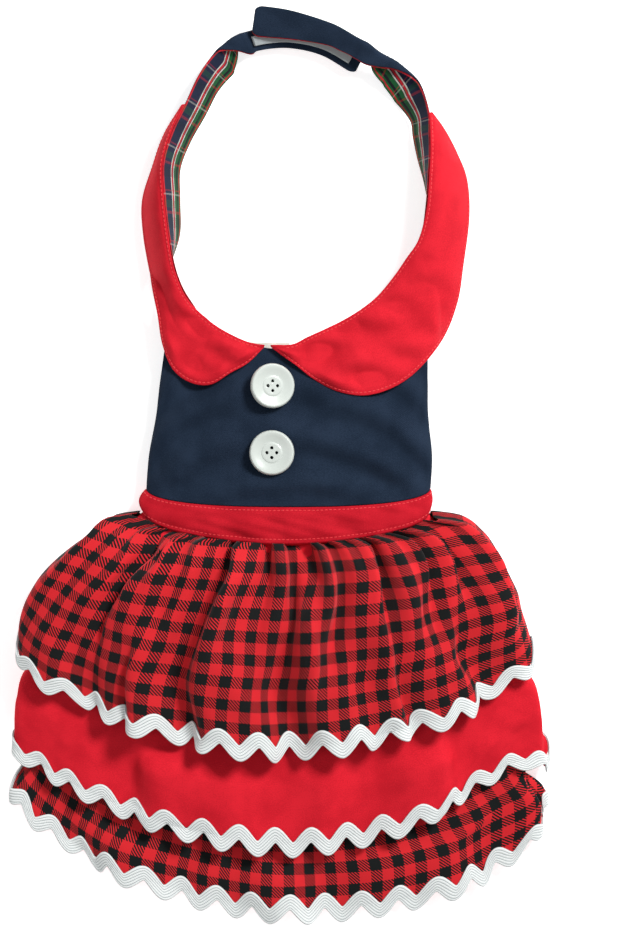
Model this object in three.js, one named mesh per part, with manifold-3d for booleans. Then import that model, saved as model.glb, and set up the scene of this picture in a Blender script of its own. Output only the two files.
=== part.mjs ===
// Dog dress lying flat: neck loop with collar, buttoned bodice, waistband and three gathered tiers.
// Millimetres, +Z up. X runs across the dress and +Y from the hem to the neck loop.
import * as THREE from 'three';
import { mergeVertices } from 'three/addons/utils/BufferGeometryUtils.js';
import Module from 'manifold-3d';

const wasm = await Module();
wasm.setup();

// Walls and gaps
const CLOTH_WALL = 1.6;
const STRAP_WALL = 1.0;
const LINING_WALL = 1.0;
const TAPE_WALL = 1.0;
const LABEL_WALL = 1.0;
const TRIM_WALL = 1.2;
const CLEARANCE = 0.35;
const SEAM_GAP = 0.8;
const TRIM_GAP = 1.25;
const TIER_GAP = 1.9;
const STRAP_GAP = 0.75;

// Torso: bodice, belly band and waistband share one flattened section
const WAIST_WIDTH = 158;
const TORSO_HEIGHT = 21;
const BODICE_LENGTH = 88;
const WAISTBAND_LENGTH = 20;
const BELLY_BAND_LENGTH = 31;

// Neck loop
const NECK_WIDTH = 144;
const NECK_LENGTH = 166;
const NECK_OFFSET = 9;
const STRAP_WIDTH = 20;
const STRAP_FOLD_ARC = 10;
const STRAP_STAND = 0.7;
const TAPE_WIDTH = 9;
const LABEL_WIDTH = 23;
const LABEL_LENGTH = 12;
const LABEL_SHOWS = 3.5;

// Tiers and their wavy trim
const TIER_LENGTH_UPPER = 112;
const TIER_LENGTH_MIDDLE = 166;
const TIER_LENGTH_LOWER = 206;
const HEM_WIDTH_UPPER = 283;
const HEM_WIDTH_MIDDLE = 294;
const HEM_WIDTH_LOWER = 297;
const GATHER_DEPTH = 3.4;
const TURN_UNDER_ANGLE = 140;
const TURN_UNDER_STEP = 11;
const TRIM_PERIOD = 23;
const TRIM_RIBBON = 9.5;
const TRIM_SWING = 8.5;

// Buttons
const BUTTON_DIAMETER = 25.4;
const BUTTON_THICKNESS = 3.6;
const BUTTON_RIM = 3.2;
const BUTTON_DISH = 1.0;
const BUTTON_HOLE_DIAMETER = 2.2;
const BUTTON_HOLE_SPACING = 5.4;
const BUTTON_UPPER_DROP = 21;
const BUTTON_PITCH = 37;
const BUTTON_OFFSET = -5;

const WAIST_SEAM_Y = 0;
const WAIST_TOP_Y = WAIST_SEAM_Y + WAISTBAND_LENGTH;
const NECKLINE_Y = WAIST_TOP_Y + BODICE_LENGTH;
const NECK_CENTRE_Y = NECKLINE_Y + NECK_LENGTH / 2;

const { PI, cos, sin, abs, sign, min, max, sqrt } = Math;
const radians = (degrees) => (degrees * PI) / 180;
const mix = (a, b, share) => a + (b - a) * share;
const clamp = (value, low, high) => min(max(value, low), high);
const ease = (value) => {
  const share = clamp(value, 0, 1);
  return share * share * (3 - 2 * share);
};
const softMax = (a, b, blend) => (a + b + sqrt((a - b) ** 2 + blend ** 2)) / 2;

// Smooth curve through one column of a table whose rows are placed by their "at" value.
function column(rows, key, at) {
  const last = rows.length - 1;
  let row = 0;
  while (row < last - 1 && at > rows[row + 1].at) row += 1;
  const span = rows[row + 1].at - rows[row].at;
  const share = clamp((at - rows[row].at) / span, 0, 1);
  const slope = (index) => {
    const before = rows[max(index - 1, 0)];
    const after = rows[min(index + 1, last)];
    return ((after[key] - before[key]) / (after.at - before.at)) * span;
  };
  const squared = share * share;
  const cubed = squared * share;
  return rows[row][key] * (2 * cubed - 3 * squared + 1) + slope(row) * (cubed - 2 * squared + share)
    + rows[row + 1][key] * (3 * squared - 2 * cubed) + slope(row + 1) * (cubed - squared);
}

// Rows placed evenly from 0 to 1.
const evenly = (rows) => rows.map((row, index) => ({ at: index / (rows.length - 1), ...row }));

// Unit normal of a surface given as point(u, v), u and v running from 0 to 1.
function normalOf(point, u, v) {
  const step = 1e-3;
  const alongU = point(u + step, v).sub(point(u - step, v));
  const alongV = point(u, v + step).sub(point(u, v - step));
  return alongU.cross(alongV).normalize();
}

// The same surface lifted off itself by a height.
const lifted = (point, height) => (u, v) => point(u, v).addScaledVector(normalOf(point, u, v), height);

// Closed wall of even thickness round a surface. A looped one joins its last column to its first.
function wallGeometry(point, { columns, rows, wall, looped = false }) {
  const across = looped ? columns : columns + 1;
  const along = rows + 1;
  const grid = [];
  const middle = (i, j) => {
    const at = looped ? (i + across) % across : clamp(i, 0, columns);
    return grid[at * along + clamp(j, 0, rows)];
  };
  for (let i = 0; i < across; i += 1) {
    for (let j = 0; j < along; j += 1) grid.push(point(i / columns, j / rows));
  }
  const positions = [];
  const place = (side) => {
    for (let i = 0; i < across; i += 1) {
      for (let j = 0; j < along; j += 1) {
        const acrossWay = middle(i + 1, j).clone().sub(middle(i - 1, j));
        const alongWay = middle(i, j + 1).clone().sub(middle(i, j - 1));
        const normal = acrossWay.cross(alongWay).normalize();
        positions.push(...middle(i, j).clone().addScaledVector(normal, side * wall / 2).toArray());
      }
    }
  };
  place(1);
  place(-1);
  const half = across * along;
  const front = (i, j) => ((i + across) % across) * along + j;
  const back = (i, j) => half + front(i, j);
  const index = [];
  const quad = (a, b, c, d) => index.push(a, b, c, a, c, d);
  for (let i = 0; i < columns; i += 1) {
    for (let j = 0; j < rows; j += 1) {
      quad(front(i, j), front(i + 1, j), front(i + 1, j + 1), front(i, j + 1));
      quad(back(i, j), back(i, j + 1), back(i + 1, j + 1), back(i + 1, j));
    }
    quad(front(i, 0), back(i, 0), back(i + 1, 0), front(i + 1, 0));
    quad(front(i, rows), front(i + 1, rows), back(i + 1, rows), back(i, rows));
  }
  if (!looped) {
    for (let j = 0; j < rows; j += 1) {
      quad(front(0, j), front(0, j + 1), back(0, j + 1), back(0, j));
      quad(front(columns, j), back(columns, j), back(columns, j + 1), front(columns, j + 1));
    }
  }
  const geometry = new THREE.BufferGeometry();
  geometry.setAttribute('position', new THREE.Float32BufferAttribute(positions, 3));
  geometry.setIndex(index);
  geometry.computeVertexNormals();
  return geometry;
}

const dress = new THREE.Group();

function addPiece(name, geometry, color, roughness, metalness = 0) {
  const mesh = new THREE.Mesh(geometry, new THREE.MeshStandardMaterial({ color, roughness, metalness }));
  mesh.name = name;
  dress.add(mesh);
  return mesh;
}

const NAVY = 0x1b2836;
const RED = 0xc81a26;
const CHECK_RED = 0xa81c22;
const TARTAN = 0x2d4436;
const WHITE = 0xe6e9e8;
const TAPE_GREY = 0xb9bdbb;
const BUTTON_WHITE = 0xdde2de;

// Torso section: a flattened tube with a flat underside. The angle is 0 at the front, 180 underneath.
const TORSO_FLOOR = CLOTH_WALL / 2;
const SECTION_POWER = 0.6;
const BELLY_SWELL = 1.15;
const profile = (angle, power) => sign(cos(angle)) * abs(cos(angle)) ** power;

// Width and sideways place of the torso, as shares of the waist width, from waist seam to neckline.
const torsoRows = [
  { at: 0.00, half: 0.518, shift: 0.014, sag: 1.00 },
  { at: 0.15, half: 0.500, shift: 0.020, sag: 1.00 },
  { at: 0.45, half: 0.497, shift: 0.033, sag: 0.98 },
  { at: 0.70, half: 0.475, shift: 0.040, sag: 0.88 },
  { at: 1.00, half: 0.475, shift: 0.048, sag: 0.74 },
];
const torsoShare = (y) => clamp((y - WAIST_SEAM_Y) / (NECKLINE_Y - WAIST_SEAM_Y), 0, 1);
const torsoHalf = (y) => column(torsoRows, 'half', torsoShare(y)) * WAIST_WIDTH;
const torsoShift = (y) => column(torsoRows, 'shift', torsoShare(y)) * WAIST_WIDTH;
const torsoMiddle = (y) => (TORSO_HEIGHT / 2) * column(torsoRows, 'sag', torsoShare(y));

function torsoHeight(angle, y) {
  const middle = torsoMiddle(y);
  const crown = middle - TORSO_FLOOR;
  const belly = (TORSO_HEIGHT / 2) * BELLY_SWELL;
  const height = middle + profile(angle, SECTION_POWER) * (cos(angle) > 0 ? crown : belly);
  return max(height, TORSO_FLOOR);
}

const torsoPoint = (angle, y) => new THREE.Vector3(
  torsoShift(y) + torsoHalf(y) * sin(angle), y, torsoHeight(angle, y));

// Height of the bodice front above a place in plan, with its soft arched wrinkles.
const WRINKLE_DEPTH = 0.5;
const WRINKLE_ARCH = 0.25;
const WRINKLES = 3;
function bodiceHeight(x, y) {
  const share = clamp((x - torsoShift(y)) / torsoHalf(y), -1, 1);
  const flat = sqrt(max(1 - share * share, 0));
  const middle = torsoMiddle(y);
  const along = (y - WRINKLE_ARCH * torsoHalf(y) * share * share) / BODICE_LENGTH;
  const wrinkle = WRINKLE_DEPTH * sin(along * WRINKLES * 2 * PI) * flat;
  return middle + (middle - TORSO_FLOOR) * flat ** SECTION_POWER + wrinkle;
}

// Seam lines across the torso: lowest at the front, rising to the sides. "under" is what is left of
// the rise in the middle of the underside.
const seamLine = ({ front, rise, power, under }) => (angle) => {
  const turn = 1 - cos(angle);
  return front + rise * (turn < 1 ? turn ** power : mix(1, under, turn - 1));
};
const SEAM_RISE = 0.9 * WAISTBAND_LENGTH;
const TOP_RISE = 0.5 * WAISTBAND_LENGTH;
const SEAM_POWER = 0.85;
const waistSeam = seamLine({ front: WAIST_SEAM_Y, rise: SEAM_RISE, power: SEAM_POWER, under: 0.5 });
const waistTop = seamLine({ front: WAIST_TOP_Y, rise: TOP_RISE, power: 1.2, under: 1 });

// Waistband: a closed ring with a slightly rounded face
const WAISTBAND_SWELL = 0.6;
function waistbandPoint(u, v) {
  const angle = u * 2 * PI;
  const y = mix(waistSeam(angle) + SEAM_GAP / 2, waistTop(angle) - CLEARANCE / 2, v);
  const point = torsoPoint(angle, y);
  point.z += WAISTBAND_SWELL * sin(PI * v) * max(cos(angle), 0);
  return point;
}
const waistband = wallGeometry(waistbandPoint, { columns: 28, rows: 2, wall: CLOTH_WALL, looped: true });
addPiece('waistband', waistband, RED, 0.8);

// Neckline and strap route. x and y are shares of the neck opening's half width and half length from
// its centre; height is a share of the strap width, lean in degrees from upright (positive leans out).
// fold is the share of the width that is turned over inward along the outer edge, droop its slope.
const leftStrapRows = evenly([
  { x: -0.79, y: -0.74, height: 0.66, lean: -78, fold: 0, droop: 10, width: 1 },
  { x: -0.89, y: -0.60, height: 0.86, lean: -45, fold: 0, droop: 10, width: 1 },
  { x: -0.95, y: -0.44, height: 1.06, lean: -12, fold: 0, droop: 10, width: 1 },
  { x: -0.99, y: -0.23, height: 1.04, lean: 15, fold: 0, droop: 10, width: 1 },
  { x: -1.02, y: 0.00, height: 1.01, lean: 22, fold: 0, droop: 10, width: 1 },
  { x: -1.03, y: 0.23, height: 0.98, lean: 25, fold: 0, droop: 10, width: 1 },
  { x: -0.96, y: 0.44, height: 0.96, lean: 29, fold: 0, droop: 10, width: 1 },
  { x: -0.85, y: 0.64, height: 0.92, lean: 33, fold: 0, droop: 10, width: 1 },
  { x: -0.76, y: 0.81, height: 0.90, lean: 36, fold: 0, droop: 12, width: 1 },
  { x: -0.65, y: 0.95, height: 0.84, lean: 42, fold: 0.06, droop: 14, width: 1 },
  { x: -0.54, y: 1.04, height: 0.72, lean: 56, fold: 0.3, droop: 18, width: 1 },
  { x: -0.44, y: 1.10, height: 0.62, lean: 70, fold: 0.65, droop: 18, width: 1 },
  { x: -0.32, y: 1.14, height: 0.54, lean: 80, fold: 0.96, droop: 16, width: 0.95 },
  { x: -0.05, y: 1.17, height: 0.46, lean: 80, fold: 1, droop: 15, width: 0.86 },
  { x: 0.25, y: 1.12, height: 0.46, lean: 80, fold: 1, droop: 15, width: 0.84 },
  { x: 0.49, y: 1.02, height: 0.46, lean: 80, fold: 1, droop: 15, width: 0.84 },
]);
const rightStrapRows = evenly([
  { x: 0.79, y: -0.45, height: 0.66, lean: -78, fold: 0, droop: 10, width: 1 },
  { x: 0.91, y: -0.32, height: 0.86, lean: -50, fold: 0, droop: 10, width: 1 },
  { x: 0.98, y: -0.17, height: 1.00, lean: -25, fold: 0, droop: 10, width: 1 },
  { x: 1.00, y: 0.00, height: 1.07, lean: -5, fold: 0, droop: 10, width: 1 },
  { x: 1.01, y: 0.14, height: 1.07, lean: 5, fold: 0, droop: 10, width: 1 },
  { x: 1.02, y: 0.28, height: 1.03, lean: 17, fold: 0, droop: 10, width: 1 },
  { x: 1.02, y: 0.43, height: 0.98, lean: 25, fold: 0, droop: 10, width: 1 },
  { x: 1.01, y: 0.58, height: 0.93, lean: 31, fold: 0, droop: 10, width: 1 },
  { x: 0.94, y: 0.77, height: 0.62, lean: 56, fold: 0.12, droop: 10, width: 1 },
  { x: 0.79, y: 0.90, height: 0.53, lean: 70, fold: 0.27, droop: 10, width: 1 },
  { x: 0.65, y: 0.97, height: 0.64, lean: 74, fold: 0.44, droop: 12, width: 1 },
  { x: 0.53, y: 1.04, height: 0.76, lean: 80, fold: 0.76, droop: 15, width: 0.9 },
  { x: 0.39, y: 1.11, height: 0.90, lean: 80, fold: 1, droop: 15, width: 0.8 },
  { x: 0.25, y: 1.17, height: 0.93, lean: 80, fold: 1, droop: 15, width: 0.84 },
  { x: -0.05, y: 1.25, height: 0.94, lean: 80, fold: 1, droop: 15, width: 0.9 },
  { x: -0.28, y: 1.30, height: 0.94, lean: 80, fold: 1, droop: 15, width: 0.92 },
]);

const ringPoint = (x, y) => new THREE.Vector3(
  NECK_OFFSET + (x * NECK_WIDTH) / 2, NECK_CENTRE_Y + (y * NECK_LENGTH) / 2, 0);

// A strap's own frame at a share of its length: the outer edge and the level outward direction.
function strapStation(rows, outward, u) {
  const edge = ringPoint(column(rows, 'x', u), column(rows, 'y', u));
  const step = 0.01;
  const before = ringPoint(column(rows, 'x', max(u - step, 0)), column(rows, 'y', max(u - step, 0)));
  const after = ringPoint(column(rows, 'x', min(u + step, 1)), column(rows, 'y', min(u + step, 1)));
  const way = after.sub(before).normalize();
  edge.z = column(rows, 'height', u) * STRAP_WIDTH + STRAP_STAND;
  return { edge, out: new THREE.Vector3(-way.y * outward, way.x * outward, 0) };
}

// Point on a strap, v running from the neckline edge to the free edge. The strap hangs from its outer
// line, and what is folded over lies inward above it.
function strapSurface(rows, outward) {
  return (u, v) => {
    const share = clamp(u, 0, 1);
    const { edge, out } = strapStation(rows, outward, share);
    const width = STRAP_WIDTH * column(rows, 'width', share);
    const bendStart = clamp(column(rows, 'fold', share), 0, 1) * (width + STRAP_FOLD_ARC) - STRAP_FOLD_ARC;
    const over = radians(column(rows, 'droop', share));
    const down = -radians(90 + column(rows, 'lean', share));
    const heading = (along) => mix(over, down, ease((along - bendStart) / STRAP_FOLD_ARC));
    const hang = clamp(bendStart + STRAP_FOLD_ARC / 2, 0, width);
    const steps = 16;
    const reach = v * width - hang;
    let outwards = 0;
    let upwards = 0;
    for (let step = 0; step < steps; step += 1) {
      const angle = heading(hang + (reach * (step + 0.5)) / steps);
      outwards += (cos(angle) * reach) / steps;
      upwards += (sin(angle) * reach) / steps;
    }
    const point = edge.clone().addScaledVector(out, outwards);
    point.z += upwards;
    point.addScaledVector(new THREE.Vector3(out.y, -out.x, 0), outward * (share - u) * -NECK_LENGTH);
    return point;
  };
}
const leftStrap = strapSurface(leftStrapRows, 1);
const rightStrap = strapSurface(rightStrapRows, -1);

const STRAP_OFFSET = (STRAP_WALL + STRAP_GAP) / 2;
const LINING_OFFSET = (LINING_WALL + STRAP_GAP) / 2;
const STRAP_COLUMNS = 32;
const STRAP_ROWS = 4;
function addStrap(side, surface, facing) {
  const grid = { columns: STRAP_COLUMNS, rows: STRAP_ROWS };
  const strap = wallGeometry(lifted(surface, facing * STRAP_OFFSET), { ...grid, wall: STRAP_WALL });
  const lining = wallGeometry(lifted(surface, -facing * LINING_OFFSET), { ...grid, wall: LINING_WALL });
  addPiece(`neck_strap_${side}`, strap, NAVY, 0.85);
  addPiece(`strap_lining_${side}`, lining, TARTAN, 0.85);
}
addStrap('left', leftStrap, 1);
addStrap('right', rightStrap, -1);

// Fastening tapes: on the left strap's end and, above them, under the flap of the right strap
const TAPE_FROM = 0.85;
const TAPE_TO = 0.985;
const TAPE_INSET = 0.5 - TAPE_WIDTH / STRAP_WIDTH / 2;
const tapeSurface = (height) => lifted(
  (u, v) => leftStrap(mix(TAPE_FROM, TAPE_TO, u), mix(TAPE_INSET, 1 - TAPE_INSET, v)), height);
const LOOP_LIFT = STRAP_OFFSET + STRAP_WALL / 2 + CLEARANCE + TAPE_WALL / 2;
const HOOK_LIFT = LOOP_LIFT + TAPE_WALL + CLEARANCE;
const tapeGrid = { columns: 6, rows: 1, wall: TAPE_WALL };
addPiece('loop_strip', wallGeometry(tapeSurface(LOOP_LIFT), tapeGrid), TAPE_GREY, 0.9);
addPiece('hook_strip', wallGeometry(tapeSurface(HOOK_LIFT), tapeGrid), TAPE_GREY, 0.6);

// Bodice outline along its top: shoulder, neckline, shoulder, as shares of the neck opening
const bodiceTopRows = [
  { at: 0.00, x: -1.01, y: -0.90 },
  { at: 0.10, x: -0.80, y: -0.76 },
  { at: 0.22, x: -0.61, y: -0.86 },
  { at: 0.34, x: -0.40, y: -0.95 },
  { at: 0.46, x: -0.18, y: -1.00 },
  { at: 0.60, x: 0.12, y: -0.93 },
  { at: 0.72, x: 0.38, y: -0.78 },
  { at: 0.82, x: 0.62, y: -0.63 },
  { at: 0.91, x: 0.78, y: -0.47 },
  { at: 1.00, x: 0.99, y: -0.62 },
];
const bodiceTop = (u) => ringPoint(column(bodiceTopRows, 'x', u), column(bodiceTopRows, 'y', u));

function bodicePoint(u, v) {
  const angle = mix(-PI / 2, PI / 2, u);
  const low = torsoPoint(angle, waistTop(angle) + CLEARANCE / 2);
  const top = bodiceTop(clamp(u, 0, 1));
  const y = mix(low.y, top.y, v);
  const straight = mix(low.x, top.x, v);
  const sectioned = torsoShift(y) + torsoHalf(y) * sin(angle);
  const x = mix(sectioned, straight, ease(v));
  return new THREE.Vector3(x, y, bodiceHeight(x, y));
}
addPiece('bodice', wallGeometry(bodicePoint, { columns: 18, rows: 7, wall: CLOTH_WALL }), NAVY, 0.85);

// Belly band: closes the torso underneath, from side edge to side edge
function bellyPoint(u, v) {
  const edge = CLEARANCE / (TORSO_HEIGHT / 2);
  const angle = mix(PI / 2 + edge, 1.5 * PI - edge, u);
  const low = waistTop(angle) + CLEARANCE / 2;
  return torsoPoint(angle, mix(low, low + BELLY_BAND_LENGTH, v));
}
addPiece('belly_band', wallGeometry(bellyPoint, { columns: 14, rows: 2, wall: CLOTH_WALL }), NAVY, 0.85);

// Label: a bare tab under the neckline edge
const LABEL_X = -0.22;
const labelCentre = ringPoint(LABEL_X, -1);
const labelGeometry = new THREE.BoxGeometry(LABEL_WIDTH, LABEL_LENGTH, LABEL_WALL);
const label = addPiece('neck_label', labelGeometry, WHITE, 0.7);
label.position.set(labelCentre.x, NECKLINE_Y + LABEL_SHOWS - LABEL_LENGTH / 2,
  bodiceHeight(labelCentre.x, NECKLINE_Y) - (CLOTH_WALL + LABEL_WALL) / 2 - 2 * CLEARANCE);

// Collar halves. inX, inY is the neckline, outX, outY the outer edge, as shares of the neck opening;
// edge is the height of the outer edge and inner that of the neckline, as shares of the strap width.
const leftCollarRows = evenly([
  { inX: -0.240, inY: -0.975, outX: -0.265, outY: -1.030, inner: 0.72, edge: 0.70 },
  { inX: -0.350, inY: -0.965, outX: -0.380, outY: -1.100, inner: 0.72, edge: 0.68 },
  { inX: -0.450, inY: -0.935, outX: -0.520, outY: -1.170, inner: 0.72, edge: 0.66 },
  { inX: -0.560, inY: -0.885, outX: -0.670, outY: -1.220, inner: 0.72, edge: 0.62 },
  { inX: -0.650, inY: -0.835, outX: -0.820, outY: -1.205, inner: 0.74, edge: 0.50 },
  { inX: -0.740, inY: -0.770, outX: -0.960, outY: -1.140, inner: 0.76, edge: 0.34 },
  { inX: -0.820, inY: -0.700, outX: -1.040, outY: -0.970, inner: 0.82, edge: 0.20 },
  { inX: -0.890, inY: -0.600, outX: -1.080, outY: -0.770, inner: 0.92, edge: 0.10 },
  { inX: -0.950, inY: -0.440, outX: -1.135, outY: -0.530, inner: 1.08, edge: 0.08 },
  { inX: -0.990, inY: -0.230, outX: -1.195, outY: -0.240, inner: 1.07, edge: 0.08 },
  { inX: -1.020, inY: 0.000, outX: -1.205, outY: 0.000, inner: 1.04, edge: 0.08 },
  { inX: -1.030, inY: 0.230, outX: -1.120, outY: 0.230, inner: 1.01, edge: 0.25 },
  { inX: -0.960, inY: 0.440, outX: -1.030, outY: 0.430, inner: 1.01, edge: 0.50 },
  { inX: -0.860, inY: 0.620, outX: -0.880, outY: 0.620, inner: 0.98, edge: 1.04 },
]);
const rightCollarRows = evenly([
  { inX: -0.160, inY: -0.975, outX: -0.135, outY: -1.030, inner: 0.72, edge: 0.70 },
  { inX: -0.040, inY: -0.975, outX: -0.020, outY: -1.110, inner: 0.72, edge: 0.68 },
  { inX: 0.080, inY: -0.925, outX: 0.130, outY: -1.210, inner: 0.72, edge: 0.66 },
  { inX: 0.220, inY: -0.860, outX: 0.330, outY: -1.270, inner: 0.72, edge: 0.64 },
  { inX: 0.360, inY: -0.785, outX: 0.550, outY: -1.290, inner: 0.72, edge: 0.60 },
  { inX: 0.500, inY: -0.705, outX: 0.790, outY: -1.215, inner: 0.72, edge: 0.50 },
  { inX: 0.620, inY: -0.625, outX: 1.000, outY: -1.070, inner: 0.74, edge: 0.32 },
  { inX: 0.740, inY: -0.515, outX: 1.150, outY: -0.890, inner: 0.76, edge: 0.16 },
  { inX: 0.840, inY: -0.400, outX: 1.230, outY: -0.680, inner: 0.84, edge: 0.09 },
  { inX: 0.930, inY: -0.280, outX: 1.250, outY: -0.430, inner: 0.96, edge: 0.08 },
  { inX: 0.990, inY: -0.080, outX: 1.290, outY: -0.110, inner: 1.06, edge: 0.08 },
  { inX: 1.010, inY: 0.140, outX: 1.300, outY: 0.140, inner: 1.09, edge: 0.10 },
  { inX: 1.020, inY: 0.340, outX: 1.200, outY: 0.350, inner: 1.03, edge: 0.20 },
  { inX: 1.010, inY: 0.560, outX: 1.030, outY: 0.560, inner: 0.97, edge: 1.02 },
]);

// Height at which a collar lies on the bodice. Past the bodice's side edges, and above its shoulders,
// the support fades out over a share of the half width or of the neck length.
const SUPPORT_NARROWING = 0.93;
const SUPPORT_SIDE = { from: 1.02, over: 0.2 };
const SUPPORT_END = { from: 0.2, over: 0.1 };
function collarSupport(x, y) {
  const shift = torsoShift(y);
  const beside = abs(x - shift) / torsoHalf(y);
  const beyond = (y - NECKLINE_Y) / NECK_LENGTH;
  const past = 1 - ease((beside - SUPPORT_SIDE.from) / SUPPORT_SIDE.over);
  const below = 1 - ease((beyond - SUPPORT_END.from) / SUPPORT_END.over);
  const covered = shift + (x - shift) * SUPPORT_NARROWING;
  return (bodiceHeight(covered, y) + CLOTH_WALL + 3 * CLEARANCE) * past * below;
}

// Point on a collar half, from its neckline to its outer edge on the left half and back on the right.
const COLLAR_LIFT = STRAP_OFFSET + STRAP_WALL / 2 + CLEARANCE + CLOTH_WALL / 2;
const COLLAR_DROP_POWER = 1.8;
const collarSurface = (rows, outward) => (u, v) => {
  const run = outward > 0 ? v : 1 - v;
  const inner = ringPoint(column(rows, 'inX', u), column(rows, 'inY', u));
  const outer = ringPoint(column(rows, 'outX', u), column(rows, 'outY', u));
  const start = column(rows, 'inner', u) * STRAP_WIDTH + STRAP_STAND + COLLAR_LIFT;
  const end = column(rows, 'edge', u) * STRAP_WIDTH + CLOTH_WALL / 2;
  const point = inner.lerp(outer, run);
  const own = mix(start, end, run ** COLLAR_DROP_POWER);
  point.z = softMax(own, collarSupport(point.x, point.y), CLEARANCE);
  return point;
};
const collarGrid = { columns: 16, rows: 4, wall: CLOTH_WALL };
addPiece('collar_left', wallGeometry(collarSurface(leftCollarRows, 1), collarGrid), RED, 0.8);
addPiece('collar_right', wallGeometry(collarSurface(rightCollarRows, -1), collarGrid), RED, 0.8);

// Tiers, from the outermost in. rise, the way a hem climbs to its sides, is a share of the tier's length,
// and shift, its sideways place, one of the waist width. section is the power that rounds its sides: the
// lower, the squarer. puff raises the sides, and a heights row gives the top of the front, as shares of
// the torso height. A folds row is a main fold: its place and width as shares of the half width, its
// depth in gather depths.
const tiers = [
  {
    name: 'upper', length: TIER_LENGTH_UPPER, hem: HEM_WIDTH_UPPER, flare: 2.7, shift: -0.0215, tilt: 0.017,
    rise: 0.518, power: 0.8, section: 0.6, puff: 0, depth: 0, color: CHECK_RED, gathers: 15,
    columns: 50, rows: 8,
    heights: [
      { at: 0.00, top: 1.00 },
      { at: 0.12, top: 1.46 },
      { at: 0.30, top: 1.72 },
      { at: 0.55, top: 1.76 },
      { at: 1.00, top: 1.38 },
    ],
    folds: [
      { at: -0.62, width: 0.035, deep: 1.0, drift: -0.02, fade: 0.5 },
      { at: -0.44, width: 0.045, deep: 1.0, drift: -0.03, fade: 0.6 },
      { at: -0.22, width: 0.030, deep: 0.9, drift: -0.02, fade: 0.7 },
      { at: 0.05, width: 0.022, deep: 0.7, drift: 0.00, fade: 0.4 },
      { at: 0.31, width: 0.035, deep: 1.3, drift: 0.07, fade: 1.0 },
      { at: 0.56, width: 0.030, deep: 0.8, drift: 0.02, fade: 0.5 },
    ],
  },
  {
    name: 'middle', length: TIER_LENGTH_MIDDLE, hem: HEM_WIDTH_MIDDLE, flare: 2.4, shift: -0.0076,
    tilt: 0.038, rise: 0.283, power: 0.7, section: 0.6, puff: 0.15, depth: 1, color: RED, gathers: 9,
    columns: 34, rows: 7,
    heights: [
      { at: 0.00, top: 1.00 },
      { at: 0.20, top: 1.14 },
      { at: 0.45, top: 1.14 },
      { at: 0.70, top: 1.04 },
      { at: 0.84, top: 0.90 },
      { at: 1.00, top: 0.72 },
    ],
    folds: [
      { at: -0.40, width: 0.06, deep: 0.5, drift: -0.02, fade: 1.0 },
      { at: 0.30, width: 0.05, deep: 0.5, drift: 0.02, fade: 1.0 },
    ],
  },
  {
    name: 'lower', length: TIER_LENGTH_LOWER, hem: HEM_WIDTH_LOWER, flare: 1.8, shift: -0.0076, tilt: 0.06,
    rise: 0.277, power: 0.7, section: 0.4, puff: 0.15, depth: 2, color: CHECK_RED, gathers: 9,
    columns: 28, rows: 8,
    heights: [
      { at: 0.00, top: 1.00 },
      { at: 0.15, top: 1.01 },
      { at: 0.35, top: 1.08 },
      { at: 0.60, top: 0.90 },
      { at: 0.80, top: 0.62 },
      { at: 1.00, top: 0.42 },
    ],
    folds: [
      { at: -0.30, width: 0.06, deep: 0.3, drift: -0.02, fade: 1.0 },
      { at: 0.36, width: 0.06, deep: 0.3, drift: 0.02, fade: 1.0 },
    ],
  },
];

const TIER_PITCH = CLOTH_WALL + TIER_GAP;
const SIDE_INSET = 2.1;
const INSET_REACH = 0.2;
const PUFF_REACH = 0.5;
const TIER_SWELL = 1.08;
const GATHERS_REACH = { from: 1.1, over: 0.7 };
const TRIM_LIFT = (CLOTH_WALL + TRIM_WALL) / 2 + TRIM_GAP;
const HEM_FLOOR = TRIM_LIFT + TRIM_WALL / 2 + CLEARANCE;
const turnUnder = (tier) => radians(TURN_UNDER_ANGLE - TURN_UNDER_STEP * tier.depth);

// Lengthwise place of a tier at an angle round the skirt and a share of the way down to its hem.
function tierY(tier, angle, down) {
  const turn = 1 - cos(angle);
  const front = turn ** mix(SEAM_POWER, tier.power, down);
  const under = 1 + (turn - 1) * mix(-0.5, 0.6, down);
  const tilt = tier.tilt * down * (tier.hem / 2) * sin(angle);
  const climb = mix(SEAM_RISE, tier.rise * tier.length, down) * (turn < 1 ? front : under);
  return WAIST_SEAM_Y - SEAM_GAP / 2 - tier.length * down + climb - tilt;
}

// How far a tier has come out from under a tier that lies on it, 0 to 1.
const TRIM_REACH = (TRIM_SWING + TRIM_RIBBON) / 2;
const outFrom = (outer, angle, y) => {
  const hem = tierY(outer, angle, 1);
  return ease((hem - TRIM_REACH - y) / (2 * TRIM_REACH));
};

// Depth of gathers and main folds, deepest a little below the waist and easing out towards the hem.
// "shown" is 1 where nothing lies on the tier. The gathers are uneven: waves shift them along.
const GATHER_START = 0.22;
const FOLD_SPREAD = 0.8;
const FOLD_EASING = 0.6;
const gatherShifts = [
  { share: 0.018, pace: 13, start: 0 },
  { share: 0.012, pace: 29, start: 1 },
];
function foldDepth(tier, side, down, shown) {
  const rise = ease(down / GATHER_START);
  const outer = mix(1, 0.3, ease(down)) * mix(0.2, 1, rise);
  const swell = tier.depth > 0 ? mix(0.2, 0.55, shown) : outer;
  const shifted = (sum, wave) => sum + wave.share * sin(side * wave.pace + wave.start);
  const place = gatherShifts.reduce(shifted, side);
  let depth = cos(tier.gathers * 2 * PI * place) * swell;
  for (const fold of tier.folds) {
    const offset = (side - fold.at - fold.drift * down) / (fold.width * (1 + FOLD_SPREAD * down));
    depth -= fold.deep * rise * shown * mix(1, fold.fade * FOLD_EASING, down) * Math.exp(-offset * offset);
  }
  return depth * GATHER_DEPTH;
}

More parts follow.
